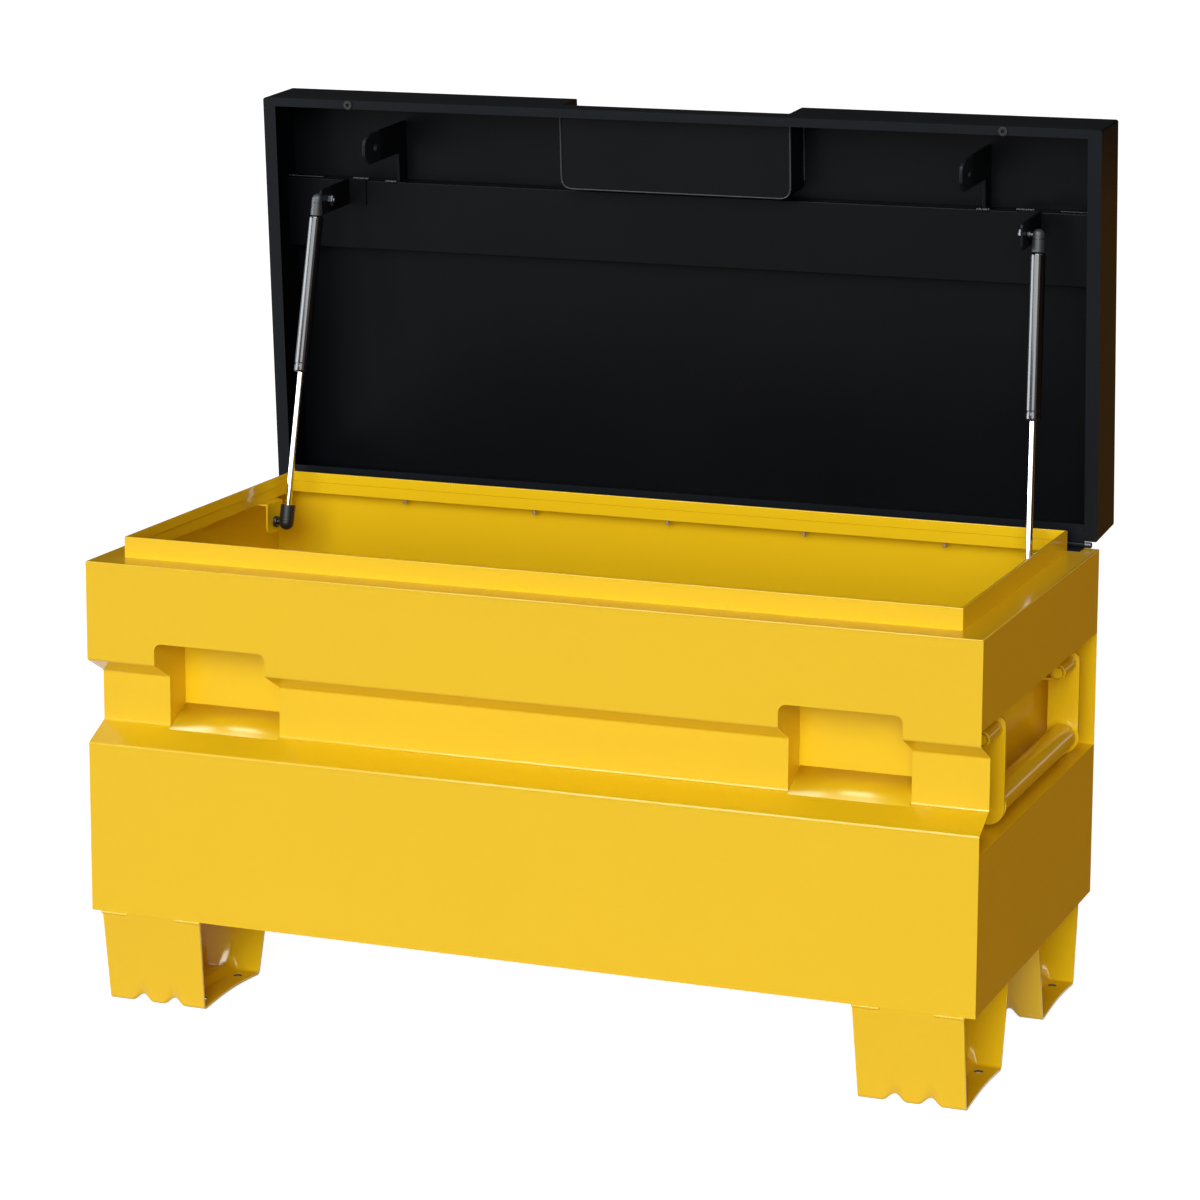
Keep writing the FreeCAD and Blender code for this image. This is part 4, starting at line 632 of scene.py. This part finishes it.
# Gas struts: chromed rods that slide in gloss black cylinders, drawn along the line between their balls.
# The cylinder is rolled in at its ends and grooved behind the rod's guide.
LOWER_BALL, UPPER_BALL = Vector((0.4740, 0.1540, 0.5020)), Vector((0.4592, 0.22258, 0.89878))
chrome = plated("polished_chrome", (0.66, 0.67, 0.69, 1), roughness=0.06, grain=0.004, depth=0.000002)
enamel = powder_coat("strut_enamel", (0.004, 0.004, 0.005, 1), roughness=0.10, ior=1.5,
                     peel_size=0.003, peel_depth=0.000002, drift=0.02)
ROD = ((0, 0.0125), (0.0040, 0.0125), (0.0040, 0.2118), (0.0072, 0.2118), (0.0072, 0.2216), (0, 0.2216))
CYLINDER = ((0, 0.3705), (0.0074, 0.3705), (0.0074, 0.2005), (0.0042, 0.2005), (0.0042, 0.1880),
            (0.0062, 0.1878), (0.0078, 0.1883), (0.0087, 0.1893), (0.0090, 0.1908), (0.0090, 0.1965),
            (0.0087, 0.1975), (0.0085, 0.1985), (0.0087, 0.1995), (0.0090, 0.2005), (0.0090, 0.3790),
            (0.0088, 0.3805), (0.0080, 0.3820), (0.0066, 0.3828), (0, 0.3829))


def stood(form, outward):
    """The turned form stood between its two balls, or mirrored between the left strut's."""
    run = UPPER_BALL - LOWER_BALL
    bmesh.ops.transform(form, verts=form.verts, matrix=Matrix.Diagonal((outward, 1, 1, 1))
                        @ Matrix.Translation(LOWER_BALL) @ run.to_track_quat("Z", "Y").to_matrix().to_4x4())
    bmesh.ops.recalc_face_normals(form, faces=form.faces)
    return form


def wire_ring(radius, wire, height):
    """A ring of round wire about Z."""
    turn = [math.tau * row / 12 for row in range(13)]
    return lathed([(radius + wire * math.cos(angle), height + wire * math.sin(angle)) for angle in turn])


for hand, outward in HANDS:
    piece(f"{hand}_polished_rod", stood(lathed(ROD, 64), outward), f"{hand}_strut_rod_set",
          chrome, "chrome", f"{hand}_strut_rod")
    piece(f"{hand}_rolled_cylinder", stood(lathed(CYLINDER, 64), outward), f"{hand}_strut_cylinder_set",
          enamel, "strut_enamel", f"{hand}_strut_cylinder")

# Ball joints of the struts: moulded nylon sockets, each held on its ball by a wire clip.
# The studs and their nuts are blackened steel.
nylon = powder_coat("moulded_nylon", (0.010, 0.010, 0.011, 1), roughness=0.45, ior=1.4,
                    peel_size=0.0006, peel_depth=0.00002, drift=0.05)
grey_nylon = powder_coat("grey_nylon", (0.024, 0.027, 0.030, 1), roughness=0.5, ior=1.4,
                         peel_size=0.0006, peel_depth=0.00002, drift=0.05)
for hand, outward in HANDS:
    for end, body, paint in (("lower", "rod", nylon), ("upper", "cylinder", grey_nylon)):
        socket = clean_copy(f"{hand}_strut_{end}_socket")
        ease(socket, 0.0008, 3, 50)
        piece(f"{hand}_{end}_moulded_socket", socket, f"{hand}_strut_{body}_set", paint, "black_plastic",
              f"{hand}_strut_{end}_socket")
    for end, body, ring, wire, height in (
            ("lower", "rod", 0.0090, 0.0006, 0.0035),
            ("upper", "cylinder", 0.0075, 0.0005, (UPPER_BALL - LOWER_BALL).length - 0.0045)):
        piece(f"{hand}_{end}_clip", stood(wire_ring(ring, wire, height), outward),
              f"{hand}_strut_{body}_set", dark_zinc, "zinc_steel")
    for name, body in (("lower_ball_stud", "body"), ("lower_stud_nut", "body"), ("upper_stud_nut", "lid"),
                       ("upper_ball_stud", f"{hand}_strut_cylinder_set")):
        part = clean_copy(f"{hand}_{name}")
        ease(part, 0.0005, 2, 50)
        piece(f"{hand}_{name}_steel", part, body, dark_zinc, "zinc_steel", f"{hand}_{name}")

# Studio: a plain floor and a room, which are white to the camera and in gloss and warm in what they light.
# A few warm, dark and bright cards lie out of the picture, and only gloss sees them.


def flat_card(name, width, height, place, turn, axis, paint):
    """A flat card of the studio, turned from lying flat about the axis."""
    sheet = bmesh.new()
    bmesh.ops.create_grid(sheet, x_segments=1, y_segments=1, size=0.5,
                          matrix=Matrix.Translation(place) @ Matrix.Rotation(turn, 4, axis)
                          @ Matrix.Diagonal((width, height, 1, 1)))
    data = bpy.data.meshes.new(name)
    sheet.to_mesh(data)
    sheet.free()
    data.materials.append(paint)
    card = bpy.data.objects.new(name, data)
    scene.collection.objects.link(card)
    return card


def plainly_seen(tree):
    """One for rays from the camera, off gloss and through glass, and nought for rays that carry light."""
    rays = tree.nodes.new("ShaderNodeLightPath")
    seen = rays.outputs["Is Camera Ray"]
    for kind in ("Is Glossy Ray", "Is Transmission Ray"):
        either = tree.nodes.new("ShaderNodeMath")
        either.operation = "MAXIMUM"
        tree.links.new(seen, either.inputs[0])
        tree.links.new(rays.outputs[kind], either.inputs[1])
        seen = either.outputs[0]
    return seen


def two_tones(tree, chosen, first, second):
    """The first colour, and the second where the choice is one."""
    tone = tree.nodes.new("ShaderNodeMix")
    tone.data_type = "RGBA"
    tone.inputs["A"].default_value = first
    tone.inputs["B"].default_value = second
    tree.links.new(chosen, tone.inputs["Factor"])
    return tone.outputs["Result"]


pale = bpy.data.materials.new("pale_floor")
pale.use_nodes = True
tree = pale.node_tree
surface = tree.nodes["Principled BSDF"]
surface.inputs["Roughness"].default_value = 0.9
surface.inputs["Specular IOR Level"].default_value = 0.1
bounce = tree.nodes.new("ShaderNodeLightPath").outputs["Is Diffuse Ray"]
tree.links.new(two_tones(tree, bounce, (0.45, 0.45, 0.45, 1), (0.45, 0.31, 0.18, 1)),
               surface.inputs["Base Color"])
surface.inputs["Emission Color"].default_value = (0.90, 0.93, 0.95, 1)
tree.links.new(plainly_seen(tree), surface.inputs["Emission Strength"])
flat_card("floor", 40, 40, (0, 0, -0.0005), 0, "X", pale)
for name, colour, strength, width, height, place, turn, axis in (
        ("warm_card", (0.23, 0.10, 0.015, 1), 1.0, 6.04, 15.0, (3.58, 5.9, 0.001), 0, "X"),
        ("brown_wall", (0.05, 0.025, 0.006, 1), 1.0, 4.2, 18.0, (6.7, 4.5, 2.1), math.pi / 2, "Y"),
        ("dark_card", (0.02, 0.02, 0.018, 1), 1.0, 12.0, 3.6, (-2.0, 4.0, 2.4), math.pi / 2, "X"),
        ("bright_card", (0.92, 0.96, 1.0, 1), 9.0, 2.6, 0.9, (-1.3, -3.6, 1.9), math.pi / 2, "X"),
        ("top_card", (0.78, 0.95, 1.0, 1), 18.0, 3.4, 1.4, (0.0, -2.3, 3.4), math.radians(35), "X"),
        ("left_card", (0.90, 0.95, 1.0, 1), 12.0, 2.4, 3.4, (-3.6, -1.6, 1.3), math.pi / 2, "Y")):
    glow = bpy.data.materials.new(name)
    glow.use_nodes = True
    light = glow.node_tree.nodes["Principled BSDF"]
    light.inputs["Base Color"].default_value = (0, 0, 0, 1)
    light.inputs["Specular IOR Level"].default_value = 0
    light.inputs["Emission Color"].default_value = colour
    light.inputs["Emission Strength"].default_value = strength
    card = flat_card(name, width, height, place, turn, axis, glow)
    card.visible_camera = card.visible_diffuse = card.visible_transmission = card.visible_shadow = False

room = bpy.data.worlds.new("white_room")
room.use_nodes = True
tree = room.node_tree
tree.links.new(two_tones(tree, plainly_seen(tree), (0.24, 0.132, 0.06, 1), (1, 1, 1, 1)),
               tree.nodes["Background"].inputs["Color"])
scene.world = room

for name, colour, energy, spread, way in (
        ("key_softbox", (1, 1, 1), 2.45, 36, (-0.13, 0.93, -0.30)),
        ("warm_fill", (1, 0.5, 0.2), 0.12, 60, (-0.80, 0.55, -0.12))):
    lamp = bpy.data.lights.new(name, "SUN")
    lamp.color = colour
    lamp.energy = energy
    lamp.angle = math.radians(spread)
    stand = bpy.data.objects.new(name, lamp)
    stand.matrix_world = Vector(way).to_track_quat("-Z", "Y").to_matrix().to_4x4()
    scene.collection.objects.link(stand)
